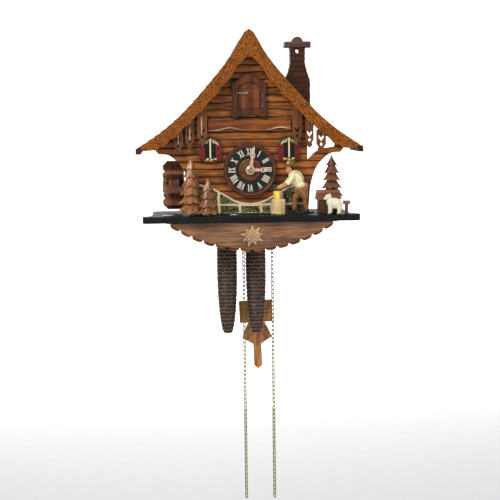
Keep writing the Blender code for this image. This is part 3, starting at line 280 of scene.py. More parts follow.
def chain_look():
    look = Look("chain_brass", 0.35, 0.45)
    clouds = look.noise(3, detail=3.0)
    colour = look.ramp(clouds, [(0.3, (0.08, 0.062, 0.008)), (0.5, (0.25, 0.195, 0.03)),
                                (0.7, (0.5, 0.41, 0.09))])
    look.bump(look.noise(0.6), 0.02)
    return look.done(colour, look.span(clouds, 0.3, 0.7, 0.3, 0.5))


LOOKS = {
    "gable": gable_look(),
    # The facade logs get painted shade in the grooves between them.
    "planks": wood("facade_planks", (0.16, 0.046, 0.008), (0.52, 0.175, 0.032), "X", 0.34, 0.3, 1.2, 0.3,
                   courses=(2, COURSE, PLATE_TOP), groove_shade=(1, FACADE_FRONT, LOG_DEPTH)),
    "case": wood("case_sides", (0.13, 0.045, 0.016), (0.3, 0.11, 0.04), "Z"),
    "back": wood("back_board", (0.3, 0.17, 0.08), (0.5, 0.32, 0.17), "Z", 0.6, 0.0),
    "shingles": wood("shingles", (0.045, 0.018, 0.009), (0.13, 0.05, 0.02), "X", 0.55, 0.05, tinted=True),
    "roof_board": wood("roof_board", (0.06, 0.026, 0.013), (0.14, 0.06, 0.027), "Y", 0.55, 0.0),
    "dark": wood("dark_carving", (0.045, 0.017, 0.009), (0.13, 0.048, 0.022), "Z", 0.4, 0.2),
    "fret": wood("fretwork", (0.12, 0.036, 0.01), (0.34, 0.115, 0.028), "Z", 0.3, 0.35),
    "fir": wood("carved_fir", (0.06, 0.018, 0.005), (0.52, 0.185, 0.045), "Z", 0.22, 0.8, 1.2, 0.3),
    "fir_dark": wood("carved_fir_dark", (0.08, 0.025, 0.01), (0.25, 0.083, 0.03), "Z", 0.24, 0.7, 1.2, 0.3),
    "mill": wood("mill_wheel", (0.11, 0.042, 0.021), (0.36, 0.14, 0.065), "Z", 0.35, 0.3, tinted=True),
    "frame": wood("door_surround", (0.062, 0.017, 0.004), (0.165, 0.045, 0.01), "Z", 0.36, 0.25),
    "comma": wood("gable_comma", (0.1, 0.025, 0.004), (0.22, 0.06, 0.008), "X", 0.6, 0.0),
    "door": wood("door_planks", (0.1, 0.026, 0.007), (0.28, 0.08, 0.022), "Z", 0.36, 0.2, 0.9, tinted=True),
    "balcony": wood("balcony", (0.09, 0.021, 0.003), (0.34, 0.092, 0.013), "X", 0.36, 0.25),
    # Pale material for painted highlights along the balcony and fretwork edges.
    "edge": wood("pale_painted_highlight", (0.5, 0.3, 0.2), (0.85, 0.66, 0.52), "X", 0.5, 0.0),
    "brick": wood("chimney_bricks", (0.08, 0.023, 0.006), (0.18, 0.052, 0.013), "X", 0.42, 0.15, 0.9,
                  0.12, tinted=True),
    "mortar": wood("chimney_joints", (0.012, 0.007, 0.005), (0.035, 0.018, 0.012), "X", 0.6, 0.0),
    "cap": wood("chimney_cap", (0.07, 0.04, 0.028), (0.17, 0.09, 0.06), "X", 0.45, 0.15),
    "walnut": wood("apron_walnut", (0.17, 0.076, 0.04), (0.46, 0.22, 0.11), "X", 0.34, 0.3, 0.8, 0.4, 0.05),
    "scallop": wood("apron_scallop", (0.2, 0.06, 0.015), (0.5, 0.18, 0.045), "X", 0.4, 0.2),
    "petal": wood("petals", (0.5, 0.26, 0.12), (0.86, 0.56, 0.33), "Z", 0.45, 0.1, 0.8),
    "hands": wood("hands", (0.76, 0.45, 0.32), (1.0, 0.78, 0.62), "Z", 0.45, 0.1, 0.8, 0.1),
    "log": wood("yellow_log", (0.85, 0.55, 0.05), (1.0, 0.86, 0.16), "Z", 0.5, 0.1, 1.0),
    "block": wood("block_wood", (0.68, 0.46, 0.18), (1.0, 0.82, 0.46), "Z", 0.6, 0.0, 1.0),
    "rim": wood("dial_rim", (0.06, 0.022, 0.011), (0.17, 0.062, 0.028), "X", 0.34, 0.3, 1.0),
    "boss": wood("dial_centre", (0.11, 0.038, 0.015), (0.3, 0.11, 0.045), "X", 0.36, 0.25, 1.0),
    "pendulum": wood("pendulum", (0.34, 0.13, 0.04), (0.76, 0.34, 0.12), "Z", 0.38, 0.2, 1.3),
    "bellows": wood("bellows_paper", (0.5, 0.4, 0.27), (0.72, 0.6, 0.42), "X", 0.8, 0.0),
    "kennel": wood("kennel_roof", (0.22, 0.08, 0.04), (0.48, 0.19, 0.1), "X", 0.45, 0.1, tinted=True),
    "black": paint("black_lacquer", (0.008, 0.0095, 0.0105), 0.5, 0.0, 0.3, 0.03, 9.0),
    "charcoal": paint("dial_charcoal", (0.016, 0.019, 0.023), 0.62, 0.0, 0.2, 0.03, 3.0),
    "cream": paint("numeral_cream", (0.92, 0.83, 0.62), 0.55, 0.0, 0.1, 0.02, 2.0),
    "curtain": paint("curtain_cream", (0.94, 0.8, 0.46), 0.7, 0.0, 0.14, 0.1, 1.5),
    "pane": paint("black_pane", (0.004, 0.004, 0.005), 0.12, 0.4, 0.2, 0.01, 5.0),
    "burgundy": paint("shutter_red", (0.2, 0.016, 0.014), 0.36, 0.2, 0.2, 0.05, 2.5),
    "green": paint("box_green", (0.04, 0.13, 0.03), 0.5, 0.0, 0.25, 0.2, 1.2),
    "red": paint("flower_red", (0.6, 0.02, 0.015), 0.45),
    "yellow": paint("flower_yellow", (0.8, 0.55, 0.05), 0.45),
    "white": paint("white_paint", (0.86, 0.86, 0.84), 0.4, 0.1, 0.05),
    "grass": paint("flock_grass", (0.032, 0.04, 0.008), 0.9, 0.0, 0.45, 0.5, 1.2),
    "mortar_cream": stone_look("wall_mortar", (0.56, 0.4, 0.19), (0.88, 0.69, 0.41), (0.98, 0.86, 0.6),
                               1.6),
    "pebble": stone_look("wall_pebbles", (0.06, 0.058, 0.028), (0.26, 0.235, 0.12), (0.66, 0.58, 0.34),
                         0.9),
    "bed": stone_look("wall_bed", (0.008, 0.008, 0.006), (0.028, 0.025, 0.015), (0.07, 0.06, 0.035), 1.2),
    "brass": metal("brass", (0.83, 0.6, 0.2), 0.26),
    "chain": chain_look(),
    "steel": metal("steel", (0.52, 0.53, 0.55), 0.3, (0.2, 0.19, 0.18), 0.3),
    "iron": metal("iron", (0.1, 0.1, 0.1), 0.45, (0.06, 0.04, 0.03), 0.5),
    "strap": metal("strap_grey", (0.12, 0.13, 0.14), 0.4, (0.05, 0.05, 0.05), 0.4),
    "hat": paint("hat_felt", (0.17, 0.18, 0.035), 0.85, 0.0, 0.25, 0.15, 1.5),
    "hair": paint("hair_brown", (0.06, 0.022, 0.008), 0.6, 0.0, 0.4, 0.2, 0.8),
    "skin": paint("skin_paint", (0.72, 0.34, 0.2), 0.45, 0.1, 0.1, 0.03, 3.0, 0.1),
    "shirt": paint("shirt_cream", (1.0, 0.93, 0.53), 0.7, 0.0, 0.16, 0.35, 3.0, 0.15),
    "leather": paint("leather_brown", (0.34, 0.135, 0.045), 0.4, 0.2, 0.35, 0.2, 2.5),
    "sock": paint("sock_rust", (0.42, 0.15, 0.05), 0.7, 0.0, 0.3, 0.25, 1.2),
    "boot": paint("boot_dark", (0.02, 0.018, 0.013), 0.35, 0.2, 0.3, 0.1, 2.0),
    "eye": paint("face_dark", (0.02, 0.012, 0.01), 0.3),
    "lip": paint("lip_paint", (0.45, 0.08, 0.06), 0.4),
    "coat": paint("dog_cream", (0.92, 0.86, 0.64), 0.6, 0.0, 0.12, 0.25, 2.0, 0.15),
    "kid": paint("kid_leather", (0.6, 0.5, 0.36), 0.8, 0.0, 0.15, 0.2, 2.0),
    "bird": paint("bird_feathers", (0.12, 0.13, 0.15), 0.5, 0.0, 0.35, 0.2, 1.2),
}
LOOKS["black"].node_tree.nodes["Principled BSDF"].inputs["Specular IOR Level"].default_value = LACQUER_SPECULAR


def cone_look():
    """Blackened casting with copper rubbed up along the lip of each scale."""
    look = Look("pinecone_iron", 0.4, 0.55)
    lip = look.add("ShaderNodeAttribute", attribute_name="lip").outputs["Fac"]
    rub = look.calc("MULTIPLY", lip, look.span(look.noise(6, (1.6, 1.6, 0.6), 4.0), 0.28, 0.5))
    colour = look.mix(rub, (0.05, 0.043, 0.04), (1.0, 0.52, 0.34))
    colour = look.shade(colour, look.noise(1.1, detail=4.0), 0.6, 1.3)
    look.bump(look.noise(0.9, detail=4.0), 0.25)
    return look.done(colour, look.span(look.noise(3), 0.3, 0.7, 0.34, 0.6))


LOOKS["cone"] = cone_look()


# ------------------------------------------------------------------ shapes, in millimetres

def prism(outline, low, high, plane="XZ"):
    """Points and faces of an outline pushed through from low to high."""
    place = {"XZ": lambda u, v, w: (u, w, v),
             "XY": lambda u, v, w: (u, v, w),
             "YZ": lambda u, v, w: (w, u, v)}[plane]
    count = len(outline)
    points = [place(u, v, low) for u, v in outline] + [place(u, v, high) for u, v in outline]
    faces = [tuple(range(count)), tuple(range(count, 2 * count))]
    faces += [(i, (i + 1) % count, (i + 1) % count + count, i + count) for i in range(count)]
    return points, faces


def slab(low, high):
    return prism([(low[0], low[2]), (high[0], low[2]), (high[0], high[2]), (low[0], high[2])], low[1],
                 high[1])


def turned(profile, centre, axis="Y", sides=32):
    """A solid of revolution from (radius, distance along the axis) points."""
    place = {"X": lambda a, b, h: (h, a, b),
             "Y": lambda a, b, h: (a, h, b),
             "Z": lambda a, b, h: (a, b, h)}[axis]
    points, rings = [], []
    for radius, height in profile:
        ring = []
        for i in range(1 if radius == 0 else sides):
            turn = 2 * math.pi * i / sides
            ring.append(len(points))
            points.append(tuple(Vector(place(radius * math.cos(turn), radius * math.sin(turn),
                                             height)) + Vector(centre)))
        rings.append(ring)
    pairs = list(zip(rings, rings[1:]))
    if profile[0][0] > 0 and profile[-1][0] > 0:
        pairs.append((rings[-1], rings[0]))
    faces = []
    for a, b in pairs:
        for i in range(sides):
            j = (i + 1) % sides
            corners = list(dict.fromkeys([a[i % len(a)], a[j % len(a)], b[j % len(b)], b[i % len(b)]]))
            if len(corners) > 2:
                faces.append(tuple(corners))
    return points, faces


def tube(path, radius, sides=8, closed=False):
    """A round bar along a path, of one radius or one for each point."""
    path = [Vector(p) for p in path]
    count = len(path)
    radii = radius if isinstance(radius, (list, tuple)) else [radius] * count
    points, faces = [], []
    normal = None
    for i, p in enumerate(path):
        ahead = path[(i + 1) % count] if closed or i < count - 1 else p
        behind = path[i - 1] if closed or i else p
        tangent = (ahead - behind).normalized()
        if normal is None:
            normal = tangent.orthogonal().normalized()
        normal = (normal - tangent * normal.dot(tangent)).normalized()
        side = tangent.cross(normal)
        for k in range(sides):
            turn = 2 * math.pi * k / sides
            points.append(tuple(p + (normal * math.cos(turn) + side * math.sin(turn)) * radii[i]))
    for i in range(count if closed else count - 1):
        j = (i + 1) % count
        for k in range(sides):
            m = (k + 1) % sides
            faces.append((i * sides + k, i * sides + m, j * sides + m, j * sides + k))
    if not closed:
        faces += [tuple(range(sides)), tuple(range((count - 1) * sides, count * sides))]
    return points, faces


def egg(centre, radii, tilt=(0, 0, 0), sides=16, rings=10):
    profile = [(0 if i in (0, rings) else math.sin(math.pi * i / rings), math.cos(math.pi * i / rings))
               for i in range(rings + 1)]
    points, faces = turned(profile, (0, 0, 0), "Z", sides)
    turn = Euler([math.radians(a) for a in tilt]).to_matrix()
    placed = [tuple(turn @ Vector([p[k] * radii[k] for k in range(3)]) + Vector(centre)) for p in points]
    return placed, faces


def arc(centre, radius, start, end, steps):
    made = []
    for i in range(steps + 1):
        angle = math.radians(start + (end - start) * i / steps)
        made.append((centre[0] + radius * math.cos(angle), centre[1] + radius * math.sin(angle)))
    return made


def smoothed(points, steps=4, closed=False):
    """A Catmull-Rom curve through a few points, open or closed."""
    padded = [points[-1], *points, *points[:2]] if closed else [points[0], *points, points[-1]]
    made = []
    for a, b, c, d in zip(padded, padded[1:], padded[2:], padded[3:]):
        for i in range(steps):
            t = i / steps
            made.append(tuple(0.5 * (2 * q + (r - p) * t + (2 * p - 5 * q + 4 * r - s) * t * t
                                     + (3 * q - p - 3 * r + s) * t ** 3) for p, q, r, s in zip(a, b, c, d)))
    return made if closed else [*made, points[-1]]


def joined(rings):
    """Four-sided faces between neighbouring rings of points."""
    faces = []
    for a, b in zip(rings, rings[1:]):
        for i in range(len(a)):
            j = (i + 1) % len(a)
            faces.append((a[i], a[j], b[j], b[i]))
    return faces


class Form:
    """Shapes gathered into one piece, each with a material slot and a tint."""

    def __init__(self):
        self.points, self.faces, self.slots, self.tints, self.lips = [], [], [], [], []

    def add(self, shape, slot=0, tint=0.5, lips=None):
        points, faces = shape
        base = len(self.points)
        self.points += [tuple(p) for p in points]
        self.lips += lips if lips else [0.0] * len(points)
        for face in faces:
            self.faces.append(tuple(base + i for i in face))
            self.slots.append(slot)
            self.tints.append(tint)
        return self

    def mesh(self, name="shape"):
        mesh = bpy.data.meshes.new(name)
        mesh.from_pydata([Vector(p) * MM for p in self.points], [], self.faces)
        mesh.polygons.foreach_set("material_index", self.slots)
        tint = mesh.attributes.new("tint", "FLOAT", "FACE")
        tint.data.foreach_set("value", self.tints)
        if any(self.lips):
            lip = mesh.attributes.new("lip", "FLOAT", "POINT")
            lip.data.foreach_set("value", self.lips)
        bm = bmesh.new()
        bm.from_mesh(mesh)
        bmesh.ops.recalc_face_normals(bm, faces=bm.faces)
        bm.to_mesh(mesh)
        bm.free()
        return mesh

    def make(self, name, body, looks, replaces=(), bevel=0.0, smooth=35.0, blob=0.0, segments=2):
        return show(name, self.mesh(name), body, looks, replaces, bevel, smooth, blob, segments)


def show(name, mesh, body, looks, replaces=(), bevel=0.0, smooth=35.0, blob=0.0, segments=2):
    """A visible piece on a body, with rounded edges, or melted into one soft form when blob is set."""
    slots = [face.material_index for face in mesh.polygons]
    mesh.materials.clear()
    if "tint" not in mesh.attributes:
        tint = mesh.attributes.new("tint", "FLOAT", "FACE")
        tint.data.foreach_set("value", [0.5] * len(mesh.polygons))
    for look in [looks] if isinstance(looks, str) else looks:
        mesh.materials.append(LOOKS[look])
    mesh.polygons.foreach_set("material_index", [min(slot, len(mesh.materials) - 1) for slot in slots])
    obj = bpy.data.objects.new(name, mesh)
    COLLECTION.objects.link(obj)
    if blob:
        melt = obj.modifiers.new("melt", "REMESH")
        melt.mode = "VOXEL"
        melt.voxel_size = blob * MM
        melt.use_smooth_shade = True
        ease = obj.modifiers.new("ease", "SMOOTH")
        ease.factor, ease.iterations = 0.5, 4
    if bevel:
        edge = obj.modifiers.new("edge", "BEVEL")
        edge.width, edge.segments = bevel * MM, segments
        edge.limit_method, edge.angle_limit = "ANGLE", math.radians(32)
        edge.use_clamp_overlap = True
    mesh.shade_smooth()
    mesh.set_sharp_from_angle(angle=math.radians(smooth))
    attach(obj, body)
    if replaces:
        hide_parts(*replaces)
    return obj


def body_of(node):
    return NODES[node]["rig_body"]


def cad_mesh(node, whole=True):
    """A welded copy of a CAD node's mesh, with its flat faces whole again, or left as triangles."""
    bm = bmesh.new()
    bm.from_mesh(NODES[node].data)
    bmesh.ops.remove_doubles(bm, verts=bm.verts, dist=1e-6)
    if whole:
        bmesh.ops.dissolve_limit(bm, angle_limit=math.radians(0.4), verts=bm.verts, edges=bm.edges)
    mesh = bpy.data.meshes.new(node + "_copy")
    bm.to_mesh(mesh)
    bm.free()
    return mesh


def dress(node, look, bevel=0.4, smooth=35.0):
    """The CAD piece itself with softened edges and a real surface."""
    return show(node + "_made", cad_mesh(node), body_of(node), look, (node,), bevel, smooth)


def boolean(mesh, other, operation):
    first = bpy.data.objects.new("first", mesh)
    second = bpy.data.objects.new("second", other)
    for obj in (first, second):
        COLLECTION.objects.link(obj)
    step = first.modifiers.new("step", "BOOLEAN")
    step.operation, step.solver, step.object = operation, "EXACT", second
    result = bpy.data.meshes.new_from_object(first.evaluated_get(bpy.context.evaluated_depsgraph_get()))
    bpy.data.objects.remove(first)
    bpy.data.objects.remove(second)
    return result


def plate(outlines, low, high, round_edge=0.0):
    """A flat plate with pierced openings, from closed outlines in the XZ plane."""
    curve = bpy.data.curves.new("plate", "CURVE")
    curve.dimensions, curve.fill_mode = "2D", "BOTH"
    curve.extrude = (high - low) / 2 * MM - round_edge * MM
    curve.bevel_depth, curve.offset = round_edge * MM, -round_edge * MM
    curve.bevel_resolution = 1
    for outline in outlines:
        line = curve.splines.new("POLY")
        line.points.add(len(outline) - 1)
        line.use_cyclic_u = True
        for point, (x, z) in zip(line.points, outline):
            point.co = (x * MM, z * MM, 0, 1)
    holder = bpy.data.objects.new("plate", curve)
    COLLECTION.objects.link(holder)
    mesh = bpy.data.meshes.new_from_object(holder.evaluated_get(bpy.context.evaluated_depsgraph_get()))
    bpy.data.objects.remove(holder)
    mesh.transform(Matrix.Translation((0, (low + high) / 2 * MM, 0)) @ Matrix.Rotation(math.pi / 2, 4, "X"))
    return mesh


def surface_tree(mesh):
    """A search tree over a mesh, for finding its surface."""
    corners = [tuple(v.co) for v in mesh.vertices]
    return BVHTree.FromPolygons(corners, [tuple(f.vertices) for f in mesh.polygons])


def rising(node):
    """A function that gives the height of a node's top at (x, y), or of its underside."""
    tree = surface_tree(NODES[node].data)

    def height(x, y, up=True):
        start = Vector((x, y, 300 if up else -300)) * MM
        hit = tree.ray_cast(start, Vector((0, 0, -1 if up else 1)))[0]
        return None if hit is None else hit.z / MM
    return height


# ------------------------------------------------------------------ roof and gable

def build_roof():
    dress("gable_board", "gable", 0.9)
    marks = Form()
    for side in (-1, 1):
        for x, z in ((24, 158), (66, 110), (100, 78), (140, 47)):
            marks.add(turned([(0, -114.2), (0.7, -114.1), (1.0, -113.0), (0, -112.9)], (side * x, 1.1, z),
                             "Y", 10))
    marks.make("gable_nails", "case", "iron")
    commas = Form()
    whole = cad_mesh("gable_board")
    board = surface_tree(whole)
    bpy.data.meshes.remove(whole)
    tries = 0
    while len(commas.points) < 150 * 20 and tries < 4000:
        tries += 1
        x, z = CHANCE.uniform(-158, 158), CHANCE.uniform(26, 190)
        around = [(x, z), (x - 3.6, z), (x + 3.6, z), (x, z - 4.2), (x, z + 4.2)]
        struck = [board.ray_cast(Vector((u, -300, v)) * MM, Vector((0, 1, 0))) for u, v in around]
        if any(hit[0] is None for hit in struck) or abs(x) < 6:
            continue
        front = struck[0][0].y / MM - 0.05
        lean = math.radians(CHANCE.uniform(-40, 40)) + (-0.8 if x > 0 else 0.8)
        path = []
        for u, v in ((-1.7, 0.5), (-0.6, 1.0), (0.7, 0.7), (1.4, -0.5)):
            path.append((x + u * math.cos(lean) - v * math.sin(lean), front,
                         z + u * math.sin(lean) + v * math.cos(lean)))
        commas.add(tube(path, [0.25, 0.42, 0.5, 0.22], 5))
    commas.make("gable_marks", "case", "comma")
    for side, node in ((-1, "roof_left"), (1, "roof_right")):
        height = rising(node)
        form = Form()
        stations = [0.4 + 165.6 * i / 30 for i in range(31)]
        top = [(side * x, height(side * x, -50) or 24.0) for x in stations]
        under = [(side * x, height(side * x, -50, False) or 23.0) for x in reversed(stations)]
        board = [(x, z - 2.6) for x, z in top]
        form.add(prism(board + under, -103.6, -2.4), 1)
        courses, across = 17, 9
        for i in range(courses):
            x0, x1 = 166.0 * i / courses + 0.3, min(166.2, 166.0 * (i + 1.28) / courses)
            z0, z1 = height(side * x0, -50), height(side * x1, -50)
            if z0 is None or z1 is None:
                continue
            for k in range(across):
                y0 = -103.9 + 101.8 * k / across + CHANCE.uniform(0.1, 0.4)
                y1 = -103.9 + 101.8 * (k + 1) / across - CHANCE.uniform(0.1, 0.4)
                low = CHANCE.uniform(-1.4, 0.0) * side
                lift = CHANCE.uniform(-0.3, 0.0)
                outer = side * x1 + (low if abs(side * x1 + low) < 166.2 else 0)
                corners = [(side * x0, y0, z0 - 2.6), (side * x0, y1, z0 - 2.6),
                           (outer, y1, z1 - 0.3 + lift),
                           (outer, y0, z1 - 0.3 + lift), (side * x0, y0, z0 - 3.6),
                           (side * x0, y1, z0 - 3.6),
                           (outer, y1, z1 - 2.0 + lift), (outer, y0, z1 - 2.0 + lift)]
                faces = [(0, 1, 2, 3), (4, 5, 6, 7), (0, 1, 5, 4), (1, 2, 6, 5), (2, 3, 7, 6), (3, 0, 4, 7)]
                form.add((corners, faces), 0, CHANCE.random())
        tooth = [-103.5 + 101.0 * i / 18 for i in range(19)]
        for y in tooth[:-1]:
            form.add(slab((min(side * 158.5, side * 165.6), y + 0.5, 24.4),
                          (max(side * 158.5, side * 165.6), y + 5.0, 27.6)),
                     0, CHANCE.random())
        for x in [4.0 * i + 112.0 for i in range(13)]:
            low = height(side * x, -50, False)
            if low:
                form.add(prism([(side * (x - 1.9), low + 1.5), (side * (x + 1.4), low + 0.4),
                                (side * (x + 1.9), low - 1.9),
                                (side * (x - 0.6), low - 0.9)], -103.4, -99.8), 0, CHANCE.random())
        form.make(node + "_shingled", "case", ["shingles", "roof_board"], (node,), 0.25)


def build_chimney():
    x, low, half = 73.5, 88.0, 12.0
    widths = [(88.0, 18.4), (129.0, 18.4), (141.0, 14.0), (155.0, 10.8), (178.0, 11.2), (190.0, 11.2)]

    def width(z):
        for (z0, w0), (z1, w1) in zip(widths, widths[1:]):
            if z <= z1:
                return w0 + (w1 - w0) * (z - z0) / (z1 - z0)
        return widths[-1][1]
    bricks = Form()
    pitch = 7.7
    for row in range(12):
        z0 = low + row * pitch + 0.5
        z1 = z0 + pitch - 1.0
        if z0 > 176.8:
            break
        start = -32.0 + (row % 2) * 5.6
        for k in range(7):
            a, b = x + start + 11.2 * k + 0.45, x + start + 11.2 * (k + 1) - 0.45
            for y0, y1 in ((-72.0, -60.2), (-59.8, -48.0)):
                bricks.add(slab((a, y0, z0), (b, y1, z1)), 0, CHANCE.random())
    shaft = boolean(bricks.mesh(), cad_mesh("chimney"), "INTERSECT")
    show("chimney_bricks", shaft, "case", "brick", ("chimney",), 0.3)
    core = Form()
    stations = [129.5, 141.0, 155.0, 165.0, 177.0]
    right = [(x + width(z) - 0.6, z) for z in stations]
    left = [(x - width(z) + 0.6, z) for z in reversed(stations)]
    foot = [(x - 17.8, 127.5), (x - 9, 117.3), (x, 107.8), (x + 9, 99.2), (x + 17.8, 91.4)]
    core.add(prism(foot + right + left, -60.0 - half + 0.6, -60.0 + half - 0.6))
    drill = Form().add(turned([(0, -80), (3.8, -80), (3.8, -40), (0, -40)], (x, 0, 172.0), "Y", 24)).mesh()
    show("chimney_core", boolean(core.mesh(), drill, "DIFFERENCE"), "case", "mortar")
    cap = Form()
    cap.add(slab((x - 19.3, -75.0, 177.2), (x + 19.3, -45.0, 186.0)))
    cap.make("chimney_cap", "case", "cap", (), 0.9)
    dome = Form().add(prism([(x + 8.2, 184.0), *arc((x, 185.2), 8.2, 0, 180, 20), (x - 8.2, 184.0)],
                            -70.0, -50.0))
    dome.make("chimney_dome", "case", "cap", (), 0.7)
    lining = Form().add(turned([(3.8, -71.6), (3.8, -48.4), (3.1, -48.4), (3.1, -71.6)], (x, 0, 172.0),
                               "Y", 24))
    lining.make("chimney_flue", "case", "mortar")


# ------------------------------------------------------------------ facade

def build_facade():
    steps = [(0.0, 1.0), (0.05, 0.35), (0.13, 0.02), (0.5, 0.0), (0.8, 0.12), (0.94, 0.5)]
    columns = 64
    heights = []
    for row in range(25):
        heights += [(row, share, depth) for share, depth in steps]
    points, faces = [], []
    for row, share, depth in heights:
        for i in range(columns):
            x = -142.0 + 284.0 * i / (columns - 1)
            z = PLATE_TOP + (row + share) * COURSE
            sway = [math.sin(x * 0.11 + r * 2.3) * math.sin(x * 0.043 + r * 1.1) for r in (row, row + 1)]
            z += min(1.0, max(0.3, (z - 40) / 40)) * 1.2 * (sway[0] + (sway[1] - sway[0]) * share)
            ripple = 0.22 * math.sin(x * 0.31 + row * 1.7) * (1 - depth)
            points.append((x, FACADE_FRONT + 0.25 + depth * LOG_DEPTH + max(ripple, -0.2), z))
    rows = len(heights)
    for r in range(rows - 1):
        for i in range(columns - 1):
            a = r * columns + i
            faces.append((a, a + 1, a + columns + 1, a + columns))
    count = rows * columns
    points += [(x, -86.9, z) for x, _, z in points]
    faces += [tuple(count + i for i in reversed(face)) for face in faces]
    ring = [*range(columns), *range(2 * columns - 1, count, columns),
            *range(count - 2, count - columns - 1, -1),
            *range(count - 2 * columns, 0, -columns)]
    faces += [(i, count + i, count + j, j) for i, j in zip(ring, ring[1:] + ring[:1])]
    sheet = Form().add((points, faces)).mesh()
    board = boolean(sheet, cad_mesh("facade", False), "INTERSECT")
    show("facade_logs", board, "case", "planks", ("facade",), 0.0, 28.0)

    dress("balcony_board", "balcony", 0.6)
    # Painted highlights: pale lines along the wavy lower edge of the balcony board, thickest at each crest,
    # where the light catches the edge.
    for name, crest, start, end in (("left", -28.6, -60.0, -6.0), ("right", 45.0, 24.0, 60.0)):
        line = []
        for i in range(25):
            x = start + (end - start) * i / 24
            rise = 3.8 * math.exp(-((x - crest) / 14.0) ** 2)
            line.append((x, -100.2, 57.6 + rise))
        Form().add(tube(line, [0.25 + 0.5 * math.sin(math.pi * min(1, i / 24 * 1.1)) for i in range(25)],
                        8)).make(
            "balcony_highlight_" + name, "case", "edge")
    for node in ("case_left_side", "case_right_side"):
        dress(node, "case", 0.4)
    dress("back_panel", "back", 0.4)
    screws = Form()
    for x, z in ((-64, -56), (64, -56), (-64, 60), (64, 60)):
        screws.add(turned([(0, -0.5), (3.0, -0.5), (3.2, -1.2), (0, -1.3)], (x, 0.55, z), "Y", 16))
    screws.make("back_screws", "case", "brass", (), 0.1)
    for node in ("eave_fretwork_left", "eave_fretwork_right"):
        dress(node, "fret", 0.55)
    # Painted highlights: pale strips on the left-hand fretwork drops only, where the light from the left falls
    # on their edges.
    highlight_strips = Form()
    for x, low, high in ((-70.6, 52, 78), (-87.8, 44, 63), (-104.6, 38, 52)):
        highlight_strips.add(slab((x, -104.15, low), (x + 1.5, -103.7, high)))
    highlight_strips.make("fretwork_highlights", "case", "edge", (), 0.3)


def build_windows():
    for side, node in ((-1, "window_left"), (1, "window_right")):
        x = 57.5 * side
        outer = [(x - 15.6, 12.4), (x + 15.6, 12.4), *arc((x, 30.0), 17.9, 28, 152, 20)]
        inner = [(x - 10.4, 16.0), (x + 10.4, 16.0), *arc((x, 31.5), 14.6, 22, 158, 20)]
        surround = plate([outer, inner], -98.0, -95.4, 0.5)
        show(node + "_surround", surround, "case", "frame", (node,))
        Form().add(prism(inner, -95.9, -95.4)).make(node + "_pane", "case", "pane")
        folds = Form()
        for hand in (-1, 1):
            for k in range(5):
                turn = math.radians(82 - 11 * k)
                high = (14.0 * math.cos(turn), 31.5 + 14.0 * math.sin(turn))
                low = (min(high[0] + 3.0, 12.8), high[1] - 6.4)
                middle = ((high[0] + low[0]) / 2 - 0.5, (high[1] + low[1]) / 2)
                folds.add(tube([(x + hand * high[0], -96.6, high[1]),
                                (x + hand * middle[0], -97.0, middle[1]),
                                (x + hand * low[0], -96.5, low[1])], [0.35, 0.55, 0.45], 8))
        folds.make(node + "_curtain", "case", "curtain")
        bars = Form()
        bars.add(slab((x - 1.15, -97.9, 17.0), (x + 1.15, -96.9, 46.2)))
        bars.make(node + "_mullion", "case", "curtain", (), 0.4)
        for hand in (-1, 1):
            middle = x + hand * 12.2
            heart = [(middle + 1.9 * math.sin(t) ** 3 * 1.05,
                      31.2 + 1.55 * (0.8125 * math.cos(t) - 0.3125 * math.cos(2 * t) - 0.125 * math.cos(3 * t)
                                     - 0.0625 * math.cos(4 * t)))
                     for t in [2 * math.pi * i / 24 for i in range(24)]]
            dot = arc((middle, 21.4), 1.1, 0, 345, 15)
            board = [(middle - 4.3, 16.6), (middle + 4.3, 16.6), (middle + 4.3, 35.9), (middle - 4.3, 35.9)]
            shutter = plate([board, heart, dot], -99.1, -97.2, 0.3)
            show(f"{node}_shutter_{'l' if hand < 0 else 'r'}", shutter, "case", "burgundy")
            backing = Form().add(slab((middle - 3.9, -98.1, 17.0), (middle + 3.9, -97.5, 35.5)))
            for z in (18.3, 34.2):
                backing.add(slab((middle - 4.1, -99.25, z - 0.5), (middle + 4.1, -99.0, z + 0.5)), 1)
            backing.make(f"{node}_ledge_{'l' if hand < 0 else 'r'}", "case", ["pane", "burgundy"], (), 0.1)
        box = Form().add(slab((x - 9.5, -99.0, 10.8), (x + 9.5, -96.2, 14.8)))
        box.make(node + "_box", "case", "frame", (), 0.4)
        leaves, petals = Form(), Form()
        for _ in range(70):
            spot = (x + CHANCE.uniform(-9.4, 9.4), CHANCE.uniform(-99.0, -97.2), CHANCE.uniform(11.6, 16.8))
            leaves.add(egg(spot, (1.1, 0.45, 0.55), (0, CHANCE.uniform(-60, 60), 0), 6, 4), 0)
        for k in range(9):
            spot = (x - 8.0 + 16.0 * k / 8, -98.8, 15.4 + CHANCE.uniform(-1.2, 1.4))
            slot = (k + (side > 0)) % 3
            for i in range(5):
                turn = 2 * math.pi * i / 5
                petals.add(egg((spot[0] + 0.75 * math.cos(turn), spot[1], spot[2] + 0.75 * math.sin(turn)),
                               (0.72, 0.35, 0.72), (0, 0, 0), 8, 5), slot)
        leaves.make(node + "_leaves", "case", "green")
        petals.make(node + "_flowers", "case", ["red", "yellow", "white"])


